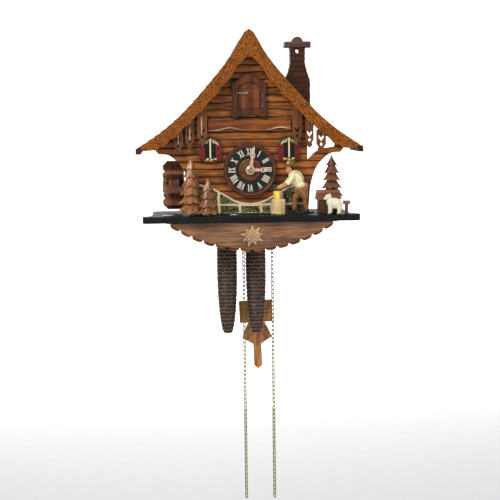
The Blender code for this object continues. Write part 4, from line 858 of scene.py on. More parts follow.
def build_door():
    surround = cad_mesh("door_frame")
    show("door_surround", surround, "case", "frame", ("door_frame",), 1.1, 35, 0, 3)
    spring, top, half = 117.0, 125.4, 15.3
    radius = (half ** 2 + (top - spring) ** 2) / (2 * (top - spring))
    curve = arc((0, top - radius), radius + 1.6, 90 - 57, 90 + 57, 20)
    groove = [(x, -101.0, z) for x, z in [(half + 1.6, 87.0), (half + 1.6, 100.0),
                                          *[p for p in curve if p[1] > 100]]]
    groove += [(-half - 1.6, -101.0, 87.0)]
    Form().add(tube(groove, 0.5, 6)).make("door_bead", "case", "dark")
    rows = [(0, 139.0), (9, 134.2), (17, 130.1), (26.1, 125.3), (25.1, 120.0), (24.0, 106.0), (24.0, 92.0),
            (26.4, 80.1), (21.4, 75.2), (11, 79.3), (0, 80.5)]
    outline = [(x, -100.4, z) for x, z in rows] + [(-x, -100.4, z) for x, z in reversed(rows[1:-1])]
    Form().add(tube(outline, 0.55, 6, True)).make("door_outline", "case", "eye")

    planks = Form()
    edges = [-15.3 + 30.6 * i / 6 for i in range(7)]
    for i, (a, b) in enumerate(zip(edges, edges[1:])):
        tops = []
        for k in range(7):
            x = a + 0.16 + (b - a - 0.32) * k / 6
            tops.append((x, top - radius + math.sqrt(radius ** 2 - x ** 2) - 0.1))
        planks.add(prism([(a + 0.16, 88.3), (b - 0.16, 88.3), *reversed(tops)], -100.1, -97.8), 0,
                   CHANCE.random())
    planks.make("cuckoo_door_planks", "door", "door", ("cuckoo_door",), 0.35)
    back = Form().add(prism([(-14.9, 88.6), (14.9, 88.6), *arc((0, top - radius), radius - 0.5, 33, 147,
                                                               10)], -98.9, -97.65))
    back.make("cuckoo_door_back", "door", "dark")
    nails = Form()
    for z in (117.8, 101.0):
        for x in (-12.7, -7.6, -2.5, 2.5, 7.6, 12.7):
            nails.add(egg((x, -100.2, z), (0.85, 0.4, 0.85), (0, 0, 0), 10, 6))
    nails.make("door_nails", "door", "eye")
    hinge = [(14.2, -100.25, 116.0), (17.2, -101.0, 115.4), (19.6, -101.2, 112.8), (20.2, -101.2, 108.5),
             (19.2, -101.2, 105.0),
             (19.6, -101.2, 100.0), (20.8, -101.2, 96.0), (19.8, -101.2, 92.6), (17.4, -101.0, 90.8)]
    Form().add(tube(smoothed(hinge, 5), 0.85, 8)).make("door_hinge_strap", "case", "strap")
    show("door_latch_made", cad_mesh("door_latch"), "latch", "steel", ("door_latch",), 0.25)


# ------------------------------------------------------------------ dial

def numeral(form, letters, degrees, radius, front):
    """Upright serif strokes along the ring, feet towards the centre."""
    tall, widths = 10.4, {"I": 2.5, "V": 5.2, "X": 5.4}
    total = sum(widths[c] for c in letters)
    squeeze = min(1.0, 11.2 / total)
    turn = math.radians(-degrees)

    def place(outline):
        return [(u * math.cos(turn) - (radius + v) * math.sin(turn),
                 u * math.sin(turn) + (radius + v) * math.cos(turn))
                for u, v in outline]

    def stroke(x0, v0, x1, v1, thick):
        form.add(prism(place([(x0 - thick / 2, v0), (x0 + thick / 2, v0), (x1 + thick / 2, v1),
                              (x1 - thick / 2, v1)]),
                       front, front + 0.35))

    at = -total * squeeze / 2
    low, high = -tall / 2, tall / 2
    for c in letters:
        wide = widths[c] * squeeze
        mid = at + wide / 2
        if c == "I":
            stroke(mid, low, mid, high, 1.45 * squeeze)
            feet = [(mid, low), (mid, high)]
        elif c == "V":
            stroke(at + 0.9, high, mid, low, 1.5 * squeeze)
            stroke(mid, low, at + wide - 0.8, high, 0.75)
            feet = [(at + 0.9, high), (at + wide - 0.8, high)]
        else:
            stroke(at + 0.9, high, at + wide - 0.9, low, 1.5 * squeeze)
            stroke(at + 0.9, low, at + wide - 0.9, high, 0.75)
            feet = [(at + 0.9, low), (at + wide - 0.9, low), (at + 0.9, high), (at + wide - 0.9, high)]
        for u, v in feet:
            inward = 0.6 if v < 0 else -0.6
            form.add(prism(place([(u - 1.15 * squeeze, v), (u + 1.15 * squeeze, v),
                                  (u + 1.15 * squeeze, v + inward),
                                  (u - 1.15 * squeeze, v + inward)]), front, front + 0.35))
        at += wide


def fret_hand(node, length, rings, degrees, low, high, bore, hub):
    """A serrated, pierced hand: two rings, a waisted stem and a spear tip."""
    right = [(1.9, hub + 0.2), (3.0, hub + 1.6), (1.5, hub + 3.4), (2.4, hub + 4.6), (1.1, rings - 4.6),
             (2.6, rings - 3.4),
             (3.7, rings - 1.6), (3.2, rings), (3.8, rings + 1.4), (2.4, rings + 3.0), (1.4, rings + 3.8),
             (2.0, rings + 5.0),
             (1.3, rings + 6.4), (1.7, length - 4.2), (0.9, length - 2.0)]
    start = math.degrees(math.asin(1.9 / hub))
    rim = [p for p in arc((0, 0), hub, -90, 90 - start, 16) if p[0] > 0.01]
    outer = [*rim, *right, (0, length), *[(-x, z) for x, z in reversed(right)],
             *[(-x, z) for x, z in reversed(rim)], (0, -hub)]
    holes = [arc((0, 0), bore, 0, 345, 23)]
    for side in (-1, 1):
        holes.append([(side * 0.55, rings - 1.9), (side * 2.1, rings - 1.3), (side * 2.2, rings + 0.4),
                      (side * 1.3, rings + 1.9),
                      (side * 0.55, rings + 1.2)])
    holes.append([(-0.5, hub + 1.2), (0, hub + 3.0), (0.5, hub + 1.2)])
    turn = math.radians(-degrees)
    turned_all = [[(x * math.cos(turn) - z * math.sin(turn),
                    x * math.sin(turn) + z * math.cos(turn)) for x, z in line]
                  for line in [outer, *holes]]
    show(node + "_fret", plate(turned_all, low, high, 0.16), body_of(node), "hands", (node,))


def build_dial():
    back, front = -95.3, -103.3
    profile = [(7.0, back), (7.0, front + 1.9)]
    for r, d in ((8.0, 1.5), (8.6, 2.1), (9.4, 1.6), (11.2, 2.3), (12.0, 1.7), (13.4, 1.4), (14.0, 2.0),
                 (14.8, 1.2), (16.0, 1.6),
                 (16.8, 3.2)):
        profile.append((r, front + d))
    profile += [(16.8, back - 2.6)]
    Form().add(turned(profile, (0, 0, 0), "Y", 72)).make("dial_centre", "case", "boss", ("dial",), 0.0, 50)
    rim = [(32.9, back - 2.6), (32.9, front + 2.4), (33.6, front + 1.3), (34.4, front + 1.5),
           (34.9, front + 0.9), (35.5, front + 0.2),
           (36.6, front), (37.2, front + 0.8), (37.8, front + 0.6), (38.5, front + 1.6),
           (38.8, front + 3.0), (38.8, back), (7.0, back),
           (7.0, back - 2.5)]
    Form().add(turned(rim, (0, 0, 0), "Y", 96)).make("dial_rim", "case", "rim", (), 0.0, 50)
    ring = [(17.1, back - 2.9), (17.1, -100.8), (32.7, -100.8), (32.7, back - 2.9)]
    Form().add(turned(ring, (0, 0, 0), "Y", 96)).make("chapter_ring_made", "case", "charcoal",
                                                      ("chapter_ring",), 0.15)
    marks = Form()
    for i, letters in enumerate(("XII", "I", "II", "III", "IIII", "V", "VI", "VII", "VIII", "IX", "X",
                                 "XI")):
        numeral(marks, letters, 30 * i, 26.4, -101.0)
    marks.make("numerals", "case", "cream", (), 0.06)
    beads = Form()
    for r in (17.6, 32.2):
        beads.add(turned([(r - 0.12, -100.95), (r + 0.12, -100.95), (r + 0.12, -100.7),
                          (r - 0.12, -100.7)], (0, 0, 0), "Y", 96))
    beads.make("ring_lines", "case", "rim")
    fret_hand("hour_hand", 28.5, 18.6, 90.5, -105.5, -104.7, 4.8, 6.8)
    fret_hand("minute_hand", 35.0, 21.5, 10.0, -107.5, -106.7, 3.0, 6.8)
    nut = [(3.0, -107.8), (5.0, -107.8), (5.0, -108.3), (4.3, -108.6), (4.4, -109.2), (3.7, -109.8),
           (3.0, -109.8)]
    Form().add(turned(nut, (0, 0, 0), "Y", 40)).make("hand_nut_made", "minute", "brass", ("hand_nut",),
                                                     0.15)


# ------------------------------------------------------------------ wall and base

def inside(point, outline):
    hit = False
    for (x0, z0), (x1, z1) in zip(outline, outline[1:] + outline[:1]):
        if (z0 > point[1]) != (z1 > point[1]) and point[0] < x0 + (point[1] - z0) * (x1 - x0) / (z1 - z0):
            hit = not hit
    return hit


def build_wall():
    crest = [(0, -51.6), (12, -50.0), (24, -46.0), (40, -36.5), (57, -27.4), (72, -22.9), (81.6, -22.9)]
    cells = []
    for side in (-1, 1):
        cells.append([(side * 16.0, -49.6), (side * 26.0, -45.4), (side * 40.0, -36.8),
                      (side * 44.5, -34.0), (side * 44.5, -49.4),
                      (side * 30.0, -49.2)])
        cells.append([(side * 48.0, -32.2), (side * 57.0, -27.6), (side * 66.0, -24.8),
                      (side * 66.0, -48.8), (side * 48.0, -49.4)])
        cells.append([(side * 69.4, -24.0), (side * 81.2, -22.8), (side * 81.2, -48.6),
                      (side * 69.4, -48.8)])
        cells.append([(side * 48.0, -52.2), (side * 63.0, -51.8), (side * 61.0, -62.4),
                      (side * 47.0, -62.4)])
        cells.append([(side * 66.4, -51.8), (side * 81.4, -51.8), (side * 81.4, -62.4),
                      (side * 64.4, -62.4)])
    cells.append([(-44.0, -52.0), (-18.0, -53.0), (-16.8, -62.4), (-43.2, -62.4)])
    cells.append([(-13.8, -53.0), (12.8, -53.2), (14.6, -62.4), (-13.6, -62.4)])
    cells.append([(17.2, -53.2), (29.2, -52.6), (29.8, -62.4), (18.4, -62.4)])
    cells.append([(32.4, -52.6), (44.0, -52.2), (44.6, -62.4), (33.0, -62.4)])
    half = [(x, z + 2.6) for x, z in crest]
    outline = [*half, (84.0, -20.0), (84.0, PLATE_TOP), (-84.0, PLATE_TOP), (-84.0, -20.0),
               *[(-x, z) for x, z in reversed(half[1:])]]
    mortar = plate([outline, *cells], -97.7, -95.4, 0.35)
    show("wall_mortar", mortar, "case", "mortar_cream", ("stone_wall",))
    bed = Form().add(slab((-83.6, -96.4, -63.6), (83.6, -95.5, -53.0)))
    for cell in cells:
        bed.add(prism(cell, -96.3, -95.6))
    bed.make("wall_bed", "case", "bed")
    pebbles = Form()
    for cell in cells:
        xs, zs = [p[0] for p in cell], [p[1] for p in cell]
        area = (max(xs) - min(xs)) * (max(zs) - min(zs))
        for _ in range(int(area / 2.1)):
            spot = (CHANCE.uniform(min(xs), max(xs)), CHANCE.uniform(min(zs), max(zs)))
            if inside(spot, cell):
                size = CHANCE.uniform(0.55, 1.15)
                shape = egg((spot[0], CHANCE.uniform(-97.1, -96.5), spot[1]),
                            (size * 1.15, size * 0.55, size * 0.8),
                            (0, CHANCE.uniform(0, 180), 0), 7, 4)
                pebbles.add(shape, 0, CHANCE.random() ** 2)
    pebbles.make("wall_pebbles", "case", "pebble", (), 0.0, 60)


def build_base():
    dress("base_plate", "black", 1.1)
    turf = Form()
    for _ in range(950):
        x = CHANCE.uniform(-60, 92)
        y = CHANCE.uniform(-107.5, -98.2) if CHANCE.random() < 0.7 else CHANCE.uniform(-128, -98.2)
        if -40 < x < 30 and y < -112:
            continue
        size = CHANCE.uniform(0.5, 1.2)
        lean = (CHANCE.uniform(-25, 25), CHANCE.uniform(-25, 25), 0)
        turf.add(egg((x, y, -63.9), (size * 1.2, size * 1.2, size * CHANCE.uniform(0.7, 1.7)), lean, 6, 4))
    turf.make("turf", "case", "grass")
    # Two thin, flat white patches lying on top of the plate.
    white_spots = Form()
    for outline in ([(-129, -108), (-124, -112), (-116, -112), (-112, -108), (-114, -103), (-120, -101),
                     (-126, -103)],
                    [(-31, -118), (-26, -121), (-21, -119.5), (-20.5, -114), (-24, -111.5), (-29, -113)]):
        white_spots.add(prism(smoothed(outline, closed=True), -64.0, -63.5, "XY"))
    white_spots.make("white_patches", "case", "white", (), 0.15)

    dress("apron_board", "walnut", 0.9)
    half, drop, top, lobes = 117.5, 38.0, -73.8, 14
    sweep = (half ** 2 + drop ** 2) / (2 * drop)
    spread = math.asin(half / sweep)
    lobed = Form()
    strip = []
    for i in range(57):
        angle = -math.pi / 2 + spread - 2 * spread * i / 56
        strip.append(((sweep + 0.4) * math.cos(angle),
                      min(top - 0.3, top - drop + sweep + (sweep + 0.4) * math.sin(angle))))
    lobed.add(prism([(half, top), *strip, (-half, top)], -131.7, -126.0))
    for i in range(lobes):
        middle = -math.pi / 2 + spread - 2 * spread * (i + 0.5) / lobes
        pitch = 2 * spread / lobes
        outline = []
        for share, grow in ((-0.47, -3.0), (-0.46, 1.0), (-0.40, 3.0), (-0.28, 4.5), (0.0, 5.0),
                            (0.28, 4.5), (0.40, 3.0),
                            (0.46, 1.0), (0.47, -3.0)):
            reach, angle = sweep + grow, middle + pitch * share
            outline.append((reach * math.cos(angle), min(top - 0.3,
                                                         top - drop + sweep + reach * math.sin(angle))))
        if min(v for _, v in outline) < top - 4.0:
            lobed.add(prism(outline, -132.1, -125.8), 0, CHANCE.random())
    lobed.make("scallop_lobes", "case", "scallop", ("apron_scallop",), 0.7)
    centre, front = (0, -93.0), -139.3
    flower = Form()
    for ring, (count, reach, wide, offset, lift) in enumerate(((9, 17.4, 2.5, 0, 0.0),
                                                               (9, 11.5, 2.0, 20, 0.55))):
        for i in range(count):
            angle = math.radians(90 + offset + 360 * i / count)
            far = reach * (1.0 if i % 2 == 0 or ring else 0.86)
            ahead, across = (math.cos(angle), math.sin(angle)), (-math.sin(angle), math.cos(angle))

            def at(u, v, y):
                return (centre[0] + (ahead[0] * u + across[0] * v) * 1.1, y,
                        centre[1] + ahead[1] * u + across[1] * v)
            y0, y1 = front - 0.35 - lift, front - 1.35 - lift
            stations = [(2.2, 0.35), (5.5, 0.8), (9.0 * far / 17, 1.0), (12.5 * far / 17, 0.8),
                        (15.2 * far / 17, 0.45), (far, 0.03)]
            left = [at(u, w * wide, y0) for u, w in stations]
            ridge = [at(u, 0, y1 + 0.3 * (k / 5)) for k, (u, w) in enumerate(stations)]
            right = [at(u, -w * wide, y0) for u, w in stations]
            deep = [at(u, 0, front) for u, w in stations]
            points = left + ridge + right + deep
            n = len(stations)
            faces = []
            for k in range(n - 1):
                for a, b in ((0, 1), (1, 2), (2, 3), (3, 0)):
                    faces.append((a * n + k, a * n + k + 1, b * n + k + 1, b * n + k))
            faces += [(0, n, 2 * n, 3 * n), (n - 1, 2 * n - 1, 3 * n - 1, 4 * n - 1)]
            flower.add((points, faces), 0, CHANCE.random())
            flower.add(tube([at(u, w * wide * 1.02, y0 + 0.1) for u, w in stations], 0.42, 5), 1)
            flower.add(tube([at(u, -w * wide * 1.02, y0 + 0.1) for u, w in stations], 0.42, 5), 1)
    for i in range(7):
        angle = 2 * math.pi * i / 6
        reach = 0 if i == 6 else 2.5
        flower.add(egg((centre[0] + reach * math.cos(angle), front - 1.3,
                        centre[1] + reach * math.sin(angle)), (1.25, 0.85, 1.25),
                       (0, 0, 0), 10, 6))
        flower.add(turned([(1.2, front - 0.6), (1.45, front - 0.6), (1.45, front - 1.4),
                           (1.2, front - 1.4)],
                          (centre[0] + reach * math.cos(angle), 0, centre[1] + reach * math.sin(angle)),
                          "Y", 12), 1)
    flower.make("edelweiss_made", "case", ["petal", "dark"], ("edelweiss",), 0.0, 25)


# ------------------------------------------------------------------ carved trees

def carved_tree(node, x, plane, apex, tiers, depth, look, ridges=8, twist=0.0):
    """Stacked carved skirts: sharp ridges run out to points, and the hem is scalloped between them."""
    form = Form()
    count = ridges * 4
    tops = [apex] + [skirt + 4.5 for skirt, _ in tiers[:-1]]
    for level, ((skirt, radius), top) in enumerate(zip(tiers, tops)):
        points, rings = [], []
        neck = 0.4 if level == 0 else max(2.6, tiers[level - 1][1] * 0.42)
        for share in (0.0, 0.3, 0.62, 0.86, 1.0):
            ring = []
            for i in range(count):
                turn = 2 * math.pi * i / count + twist + level * 0.12
                ridge = abs(math.cos(turn_share(i, 4) * math.pi))
                reach = neck + (radius - neck) * share ** 1.25 * (0.74 + 0.26 * ridge ** 1.4)
                z = top + (skirt - top) * share + share ** 3 * 2.6 * (1 - ridge)
                ring.append(len(points))
                points.append((x + reach * math.cos(turn), -plane + reach * math.sin(turn) * depth, z))
            rings.append(ring)
        under = []
        for i in range(count):
            turn = 2 * math.pi * i / count + twist + level * 0.12
            under.append(len(points))
            reach = radius * 0.36
            points.append((x + reach * math.cos(turn), -plane + reach * math.sin(turn) * depth,
                           skirt + 2.2))
        rings.append(under)
        form.add((points, [*joined(rings), tuple(rings[0]), tuple(under)]))
    form.add(turned([(0, tiers[-1][0] + 3), (3.0, tiers[-1][0] + 3), (3.4, PLATE_TOP), (0, PLATE_TOP)],
                    (x, -plane, 0), "Z", 12))
    form.make(node + "_carved", "case", look, (node,), 0.0, 24)


def turn_share(index, period):
    """0 on a ridge, 0.5 in the middle of a hollow."""
    return (index % period) / period


def build_trees():
    carved_tree("tree_tall", -86.5, 118.0, 21.5, [(3.0, 8.9), (-9.5, 12.0), (-22.0, 14.2), (-34.5, 17.4),
                                                 (-46.5, 19.6), (-60.5, 22.8)], 0.7, "fir", 7, -1.45)
    carved_tree("tree_small", -62.5, 137.0, -9.0, [(-27.5, 9.2), (-39.0, 12.4), (-51.0, 15.0),
                                                   (-61.4, 15.8)],
                0.68, "fir", 6, -1.3)
    carved_tree("tree_right", 120.5, 90.0, 19.5, [(4.0, 9.2), (-7.5, 12.3), (-18.0, 14.3), (-29.5, 16.2),
                                                  (-41.5, 18.2)], 0.8, "fir_dark", 8, -1.5)


# ------------------------------------------------------------------ the wood chopper and the yard

def build_figure():
    y = -111.0
    hat = Form()
    tilt = Matrix.Rotation(math.radians(9), 4, "Y")
    place = Matrix.Translation((57.5, y, 1.2)) @ tilt

    def moved(shape):
        return [tuple(place @ Vector(p)) for p in shape[0]], shape[1]
    brim = [(0, 4.3), (6.0, 4.2), (9.0, 4.5), (10.5, 5.4), (10.4, 5.9), (8.6, 5.3), (6.4, 5.6),
            (6.0, 7.0), (5.5, 10.6), (4.6, 12.0),
            (3.0, 12.1), (0, 11.3)]
    hat.add(moved(turned(brim, (0, 0, 0), "Z", 28)))
    hat.make("chopper_hat", "case", "hat", ("chopper_body",))
    band = Form().add(moved(turned([(6.2, 5.6), (6.55, 5.7), (6.2, 7.6), (5.9, 7.6)], (0, 0, 0), "Z", 28)))
    band.make("hat_band", "case", "red")
    flower = Form()
    for i in range(6):
        angle = 2 * math.pi * i / 6
        flower.add(moved(egg((-4.6 + 1.2 * math.cos(angle), -5.0, 8.2 + 1.2 * math.sin(angle)),
                             (0.9, 0.5, 0.9), (0, 0, 0), 8, 5)),
                   i % 2)
    flower.add(moved(egg((-4.6, -5.4, 8.2), (0.7, 0.4, 0.7), (0, 0, 0), 8, 5)), 1)
    flower.add(moved(egg((-1.4, -5.6, 8.6), (1.6, 0.5, 0.7), (0, -30, 0), 8, 5)), 2)
    flower.make("hat_flower", "case", ["white", "yellow", "green"])

    head = Form()
    head.add(egg((56.2, y - 0.4, 1.2), (4.5, 4.3, 5.6), (0, 10, 0)))
    head.add(egg((54.9, y - 0.8, -1.8), (3.2, 3.1, 3.0)))
    head.add(egg((52.1, y - 2.2, 0.3), (1.15, 0.9, 1.3), (0, 0, 0), 10, 6))
    head.add(egg((58.6, y - 3.6, 0.6), (0.9, 0.7, 1.4), (0, 0, 0), 10, 6))
    head.add(tube([(57.0, y, -2.5), (61.0, y, -8.0)], [2.9, 3.3], 12))
    head.make("chopper_head", "case", "skin", (), 0.0, 60, 0.34)
    features = Form()
    for ex, ey in ((53.5, -3.75), (56.3, -4.25)):
        features.add(egg((ex, y + ey - 0.02, 1.5), (0.52, 0.3, 0.42), (0, 0, 0), 8, 5), 0)
        features.add(tube([(ex - 0.9, y + ey - 0.1, 2.7), (ex, y + ey - 0.35, 3.0),
                           (ex + 0.9, y + ey - 0.1, 2.7)], 0.2, 5), 1)
    features.add(tube([(53.3, y - 3.45, -1.9), (54.3, y - 3.9, -2.2), (55.4, y - 3.7, -2.0)], 0.24, 6), 2)
    features.make("chopper_face", "case", ["eye", "hair", "lip"])
    hair = Form()
    for k in range(26):
        turn = math.radians(-60 + 200 * (k / 25))
        hair.add(egg((57.0 + 4.3 * math.cos(turn), y + 0.2 + 3.9 * math.sin(turn),
                      2.2 + CHANCE.uniform(-1.6, 1.6)),
                     (1.1, 1.1, 1.9), (CHANCE.uniform(-20, 20), 0, 0), 8, 5))
    hair.make("chopper_hair", "case", "hair", (), 0.0, 60, 0.4)

    shirt = Form()
    shirt.add(egg((66.4, y, -13.6), (10.8, 7.2, 13.4), (0, -30, 0), 20, 14))
    shirt.add(egg((61.6, y, -8.6), (6.6, 7.6, 5.6)))
    shirt.add(egg((72.0, y, -22.0), (8.2, 6.8, 6.4)))
    for side in (-1, 1):
        shirt.add(egg((60.8, y + side * 6.2, -9.8), (4.2, 3.2, 4.4)))
    shirt.make("chopper_shirt", "case", "shirt", (), 0.0, 60, 0.45)
    collar = Form()
    for side in (-1, 1):
        collar.add(tube([(56.8, y + side * 1.0, -6.6), (58.6, y + side * 3.2, -4.6),
                         (61.6, y + side * 3.9, -2.9),
                         (64.4, y + side * 2.2, -2.3), (65.2, y, -2.4)], [0.5, 1.0, 1.05, 0.9, 0.7], 8))
    collar.make("chopper_collar", "case", "shirt")
    braces = Form()
    for side in (-1, 1):
        path = []
        for x, z, out in ((59.6, -13.6, 6.3), (60.6, -6.8, 6.9), (66.0, -3.6, 6.2), (71.4, -7.2, 6.2),
                          (75.6, -14.0, 6.0),
                          (78.2, -22.0, 5.2)):
            path.append((x, y + side * out * 0.72, z))
        braces.add(tube(smoothed(path, 4), 0.62, 6))
    braces.make("chopper_braces", "case", "leather")

    shorts = Form()
    shorts.add(egg((74.6, y, -30.6), (8.0, 7.2, 7.6)))
    legs = (((63.8, -45.0), (66.0, -50.0), (62.6, -59.5), 4.5),
            ((78.6, -45.0), (80.0, -49.0), (81.6, -59.5), -4.0))
    for knee, _, _, out in legs:
        shorts.add(tube([(73.0, y + out * 0.8, -32.0), (knee[0] + 0.9, y + out, knee[1] + 3.2)],
                        [5.6, 4.7], 14))
    shorts.make("chopper_shorts", "case", "leather", (), 0.0, 60, 0.42)
    for i, (knee, shin, ankle, out) in enumerate(legs):
        hand = "ab"[i]
        Form().add(tube([(knee[0] + 1.5, y + out, knee[1] + 5), (knee[0], y + out, knee[1] - 1.2),
                         (shin[0] - 1.2, y + out, shin[1])],
                        [3.8, 3.5, 3.2], 14)).make("chopper_knee_" + hand, "case", "leather", (), 0.0, 60,
                                                   0.4)
        sock = Form()
        sock.add(tube([(shin[0] - 1.4, y + out, shin[1] + 0.6), ((shin[0] + ankle[0]) / 2 - 0.4, y + out,
                                                                 (shin[1] + ankle[1]) / 2),
                       (ankle[0], y + out, ankle[1])], [3.5, 3.3, 2.4], 14))
        sock.add(turned([(3.2, -0.9), (4.0, -0.6), (4.0, 0.6), (3.2, 0.9)],
                        (shin[0] - 1.4, y + out, shin[1]), "Z", 14))
        sock.make("chopper_sock_" + hand, "case", "sock", (), 0.0, 60, 0.4)
        boot = Form()
        boot.add(egg((ankle[0] - 2.4, y + out, PLATE_TOP + 2.2), (5.2, 2.7, 2.2)))
        boot.add(tube([(ankle[0] + 0.4, y + out, PLATE_TOP + 1.8),
                       (ankle[0] + 0.2, y + out, PLATE_TOP + 5.6)], [2.8, 2.7], 14))
        boot.add(slab((ankle[0] - 7.0, y + out - 2.5, PLATE_TOP + 0.05),
                      (ankle[0] + 2.9, y + out + 2.5, PLATE_TOP + 1.0)))
        boot.make("chopper_boot_" + hand, "case", "boot", (), 0.0, 60, 0.4)

    sleeves, skin = Form(), Form()
    for out in (-9.6, 9.6):
        sleeves.add(tube([(61.2, y + out * 0.86, -9.0), (58.0, y + out, -13.6), (53.6, y + out, -19.4)],
                         [3.4, 3.4, 3.2], 14))
        sleeves.add(tube([(54.6, y + out, -18.0), (52.6, y + out * 0.97, -20.6)], [3.6, 3.7], 14))
        skin.add(tube([(53.6, y + out, -19.8), (48.6, y + out * 0.56, -23.0),
                       (44.4, y + out * 0.16, -25.2)], [2.5, 2.2, 1.7], 12))
    for i in range(4):
        for side in (-1, 1):
            skin.add(tube([(45.4 - i * 0.5, y + side * 2.3, -24.0 - i * 0.9),
                           (43.2 - i * 0.6, y + side * 2.9, -25.6 - i * 0.5),
                           (42.4 - i * 0.4, y + side * 0.8, -26.8 - i * 0.2)], [0.85, 0.9, 0.7], 8))
    skin.add(egg((44.2, y, -25.0), (2.9, 3.0, 2.5)))
    sleeves.make("chopper_sleeves", "chopper_arms", "shirt", (), 0.0, 60, 0.42)
    skin.make("chopper_forearms", "chopper_arms", "skin", ("chopper_arms",), 0.0, 60, 0.34)
    handle = Form().add(tube([(49.8, y, -19.1), (44.0, y, -22.6), (39.0, y, -25.6), (35.0, y, -28.0)],
                             [1.15, 1.0, 0.95, 1.1], 12))
    handle.make("axe_handle", "chopper_arms", "block", ("axe",))
    blade = Form()
    outline = [(32.0, -21.0), (34.4, -21.6), (37.2, -21.9), (38.0, -25.0), (36.9, -27.4), (35.4, -29.4),
               (31.6, -29.6), (32.6, -27.6),
               (33.0, -25.4), (32.7, -23.0)]
    blade.add(prism(outline, y - 2.2, y + 2.2))
    blade.make("axe_head", "chopper_arms", "strap", (), 0.7)

    stump = []
    for z, r in ((PLATE_TOP, 10.5), (-62.5, 10.1), (-56, 9.8), (-49, 9.9), (-43.6, 10.2), (-42.9, 9.9),
                 (-42.4, 9.4)):
        stump.append((r, z))
    body = turned([(0, PLATE_TOP), *stump, (0, -42.4)], (39.5, -116.0, 0), "Z", 40)
    rough = [(p[0] + 0.35 * math.sin(9 * math.atan2(p[1] + 116, p[0] - 39.5)), p[1], p[2]) for p in body[0]]
    Form().add((rough, body[1])).make("chopping_block_made", "case", "block", ("chopping_block",), 0.0, 50)
    log = turned([(0, -42.1), (5.2, -42.1), (5.4, -41.6), (5.3, -36.0), (5.4, -31.2), (5.1, -30.7),
                  (0, -30.7)], (38.0, -112.0, 0), "Z", 30)
    Form().add(log).make("split_log_made", "case", "log", ("split_log",), 0.0, 50)


def build_yard():
    y = -136.0
    dog = Form()
    dog.add(egg((119.6, y, -48.4), (10.0, 5.4, 7.8), (0, 8, 0), 18, 12))
    dog.add(egg((113.2, y, -46.6), (5.9, 5.2, 7.2)))
    for x, out in ((112.5, -2.6), (113.8, 2.6), (125.6, -2.7), (126.6, 2.7)):
        dog.add(tube([(x + 0.5, y + out, -47.0), (x, y + out, -55.0),
                      (x - 0.4, y + out, PLATE_TOP + 1.4)], [4.2, 3.3, 2.6], 12))
        dog.add(egg((x - 1.2, y + out, PLATE_TOP + 1.3), (2.7, 2.0, 1.3)))
    dog.add(tube([(113.4, y, -46.0), (111.4, y, -40.5)], [4.3, 3.6], 14))
    dog.add(egg((110.2, y, -39.3), (4.9, 4.2, 4.4)))
    dog.add(tube([(108.6, y, -40.2), (105.6, y, -41.4), (103.4, y, -42.0)], [2.6, 2.1, 1.6], 12))
    for side in (-1, 1):
        dog.add(tube([(111.6, y + side * 2.4, -37.4), (112.4, y + side * 3.0, -35.2),
                      (112.8, y + side * 3.2, -33.8)], [1.7, 1.2, 0.5], 8))
    dog.add(tube([(127.0, y, -44.4), (129.8, y, -41.6), (131.2, y, -38.8)], [1.8, 1.4, 0.9], 10))
    dog.make("dog_made", "case", "coat", ("dog",), 0.0, 60, 0.45)
    marks = Form()
    marks.add(egg((102.9, y, -41.6), (0.8, 0.95, 0.75), (0, 0, 0), 10, 6))
    for side in (-1, 1):
        marks.add(egg((107.9, y + side * 3.1, -38.4), (0.55, 0.45, 0.6), (0, 0, 0), 8, 5))
    marks.make("dog_face", "case", "eye")

    low, high = -128.5, -110.0
    body = cad_mesh("dog_house")
    lift = Form().add(slab((80, -140, -43.5), (140, -100, -20))).mesh()
    show("kennel_body", boolean(body, lift, "DIFFERENCE"), "case", "dark", ("dog_house",), 0.4)
    roof = Form()
    for k in range(4):
        z0, z1 = -43.4 + k * 3.1, -43.4 + (k + 1) * 3.1 - 0.3
        slope = 1.3 * k
        roof.add(slab((93.5 + slope * 0.25, low - 1.4 + slope * 1.6, z0),
                      (130.0 - slope * 0.25, high + 1.4 - slope * 1.6, z1 + 0.6)),
                 0, CHANCE.random())
    roof.add(slab((94.5, -120.6, -31.2), (129.0, -118.0, -29.6)), 0, 0.3)
    roof.make("kennel_roof", "case", "kennel", (), 0.4)
    table = Form()
    table.add(turned([(0, PLATE_TOP), (3.3, PLATE_TOP), (2.5, PLATE_TOP + 2.0), (2.6, -50.4), (0, -50.4)],
                     (137.5, -128.0, 0), "Z", 16))
    table.add(slab((132.5, -131.5, -50.5), (142.5, -124.5, -45.0)), 0, 0.8)
    table.make("feeding_table_made", "case", "kennel", ("feeding_table",), 0.5)

    centre = Vector(WHEEL_CENTRE)
    wheel = Form()
    for i in range(8):
        turn = Matrix.Rotation(2 * math.pi * i / 8 + 0.2, 4, "X")
        outline = [(-13.0, 4.0), (13.0, 4.0), (15.0, 22.2), (13.5, 36.6), (-10.0, 36.6), (-17.2, 28.9),
                   (-12.0, 20.4)]
        points, faces = prism(outline, -3.3, 3.3)
        wheel.add(([tuple(turn @ Vector(p) + centre) for p in points], faces), 0, CHANCE.random())
        points, faces = prism([(-8, 24), (9, 24), (9, 27), (-8, 27)], -3.0, 3.0)
        wheel.add(([tuple(turn @ Vector(p) + centre) for p in points], faces), 0, CHANCE.random())
    band = [(18.6, -6.5), (21.0, -8.0), (23.4, -6.6), (22.2, 0.0), (23.4, 7.6), (21.0, 9.0), (18.6, 7.5)]
    wheel.add(turned(band, WHEEL_CENTRE, "X", 16), 0, 0.3)
    wheel.add(turned([(0, -17), (6.0, -17), (6.6, -10), (6.6, 10), (6.0, 16), (2.9, 16), (2.9, 36),
                      (0, 36)], WHEEL_CENTRE, "X", 16))
    wheel.make("mill_wheel_made", "mill_wheel", "mill", ("mill_wheel",), 0.5)


# ------------------------------------------------------------------ below the plate

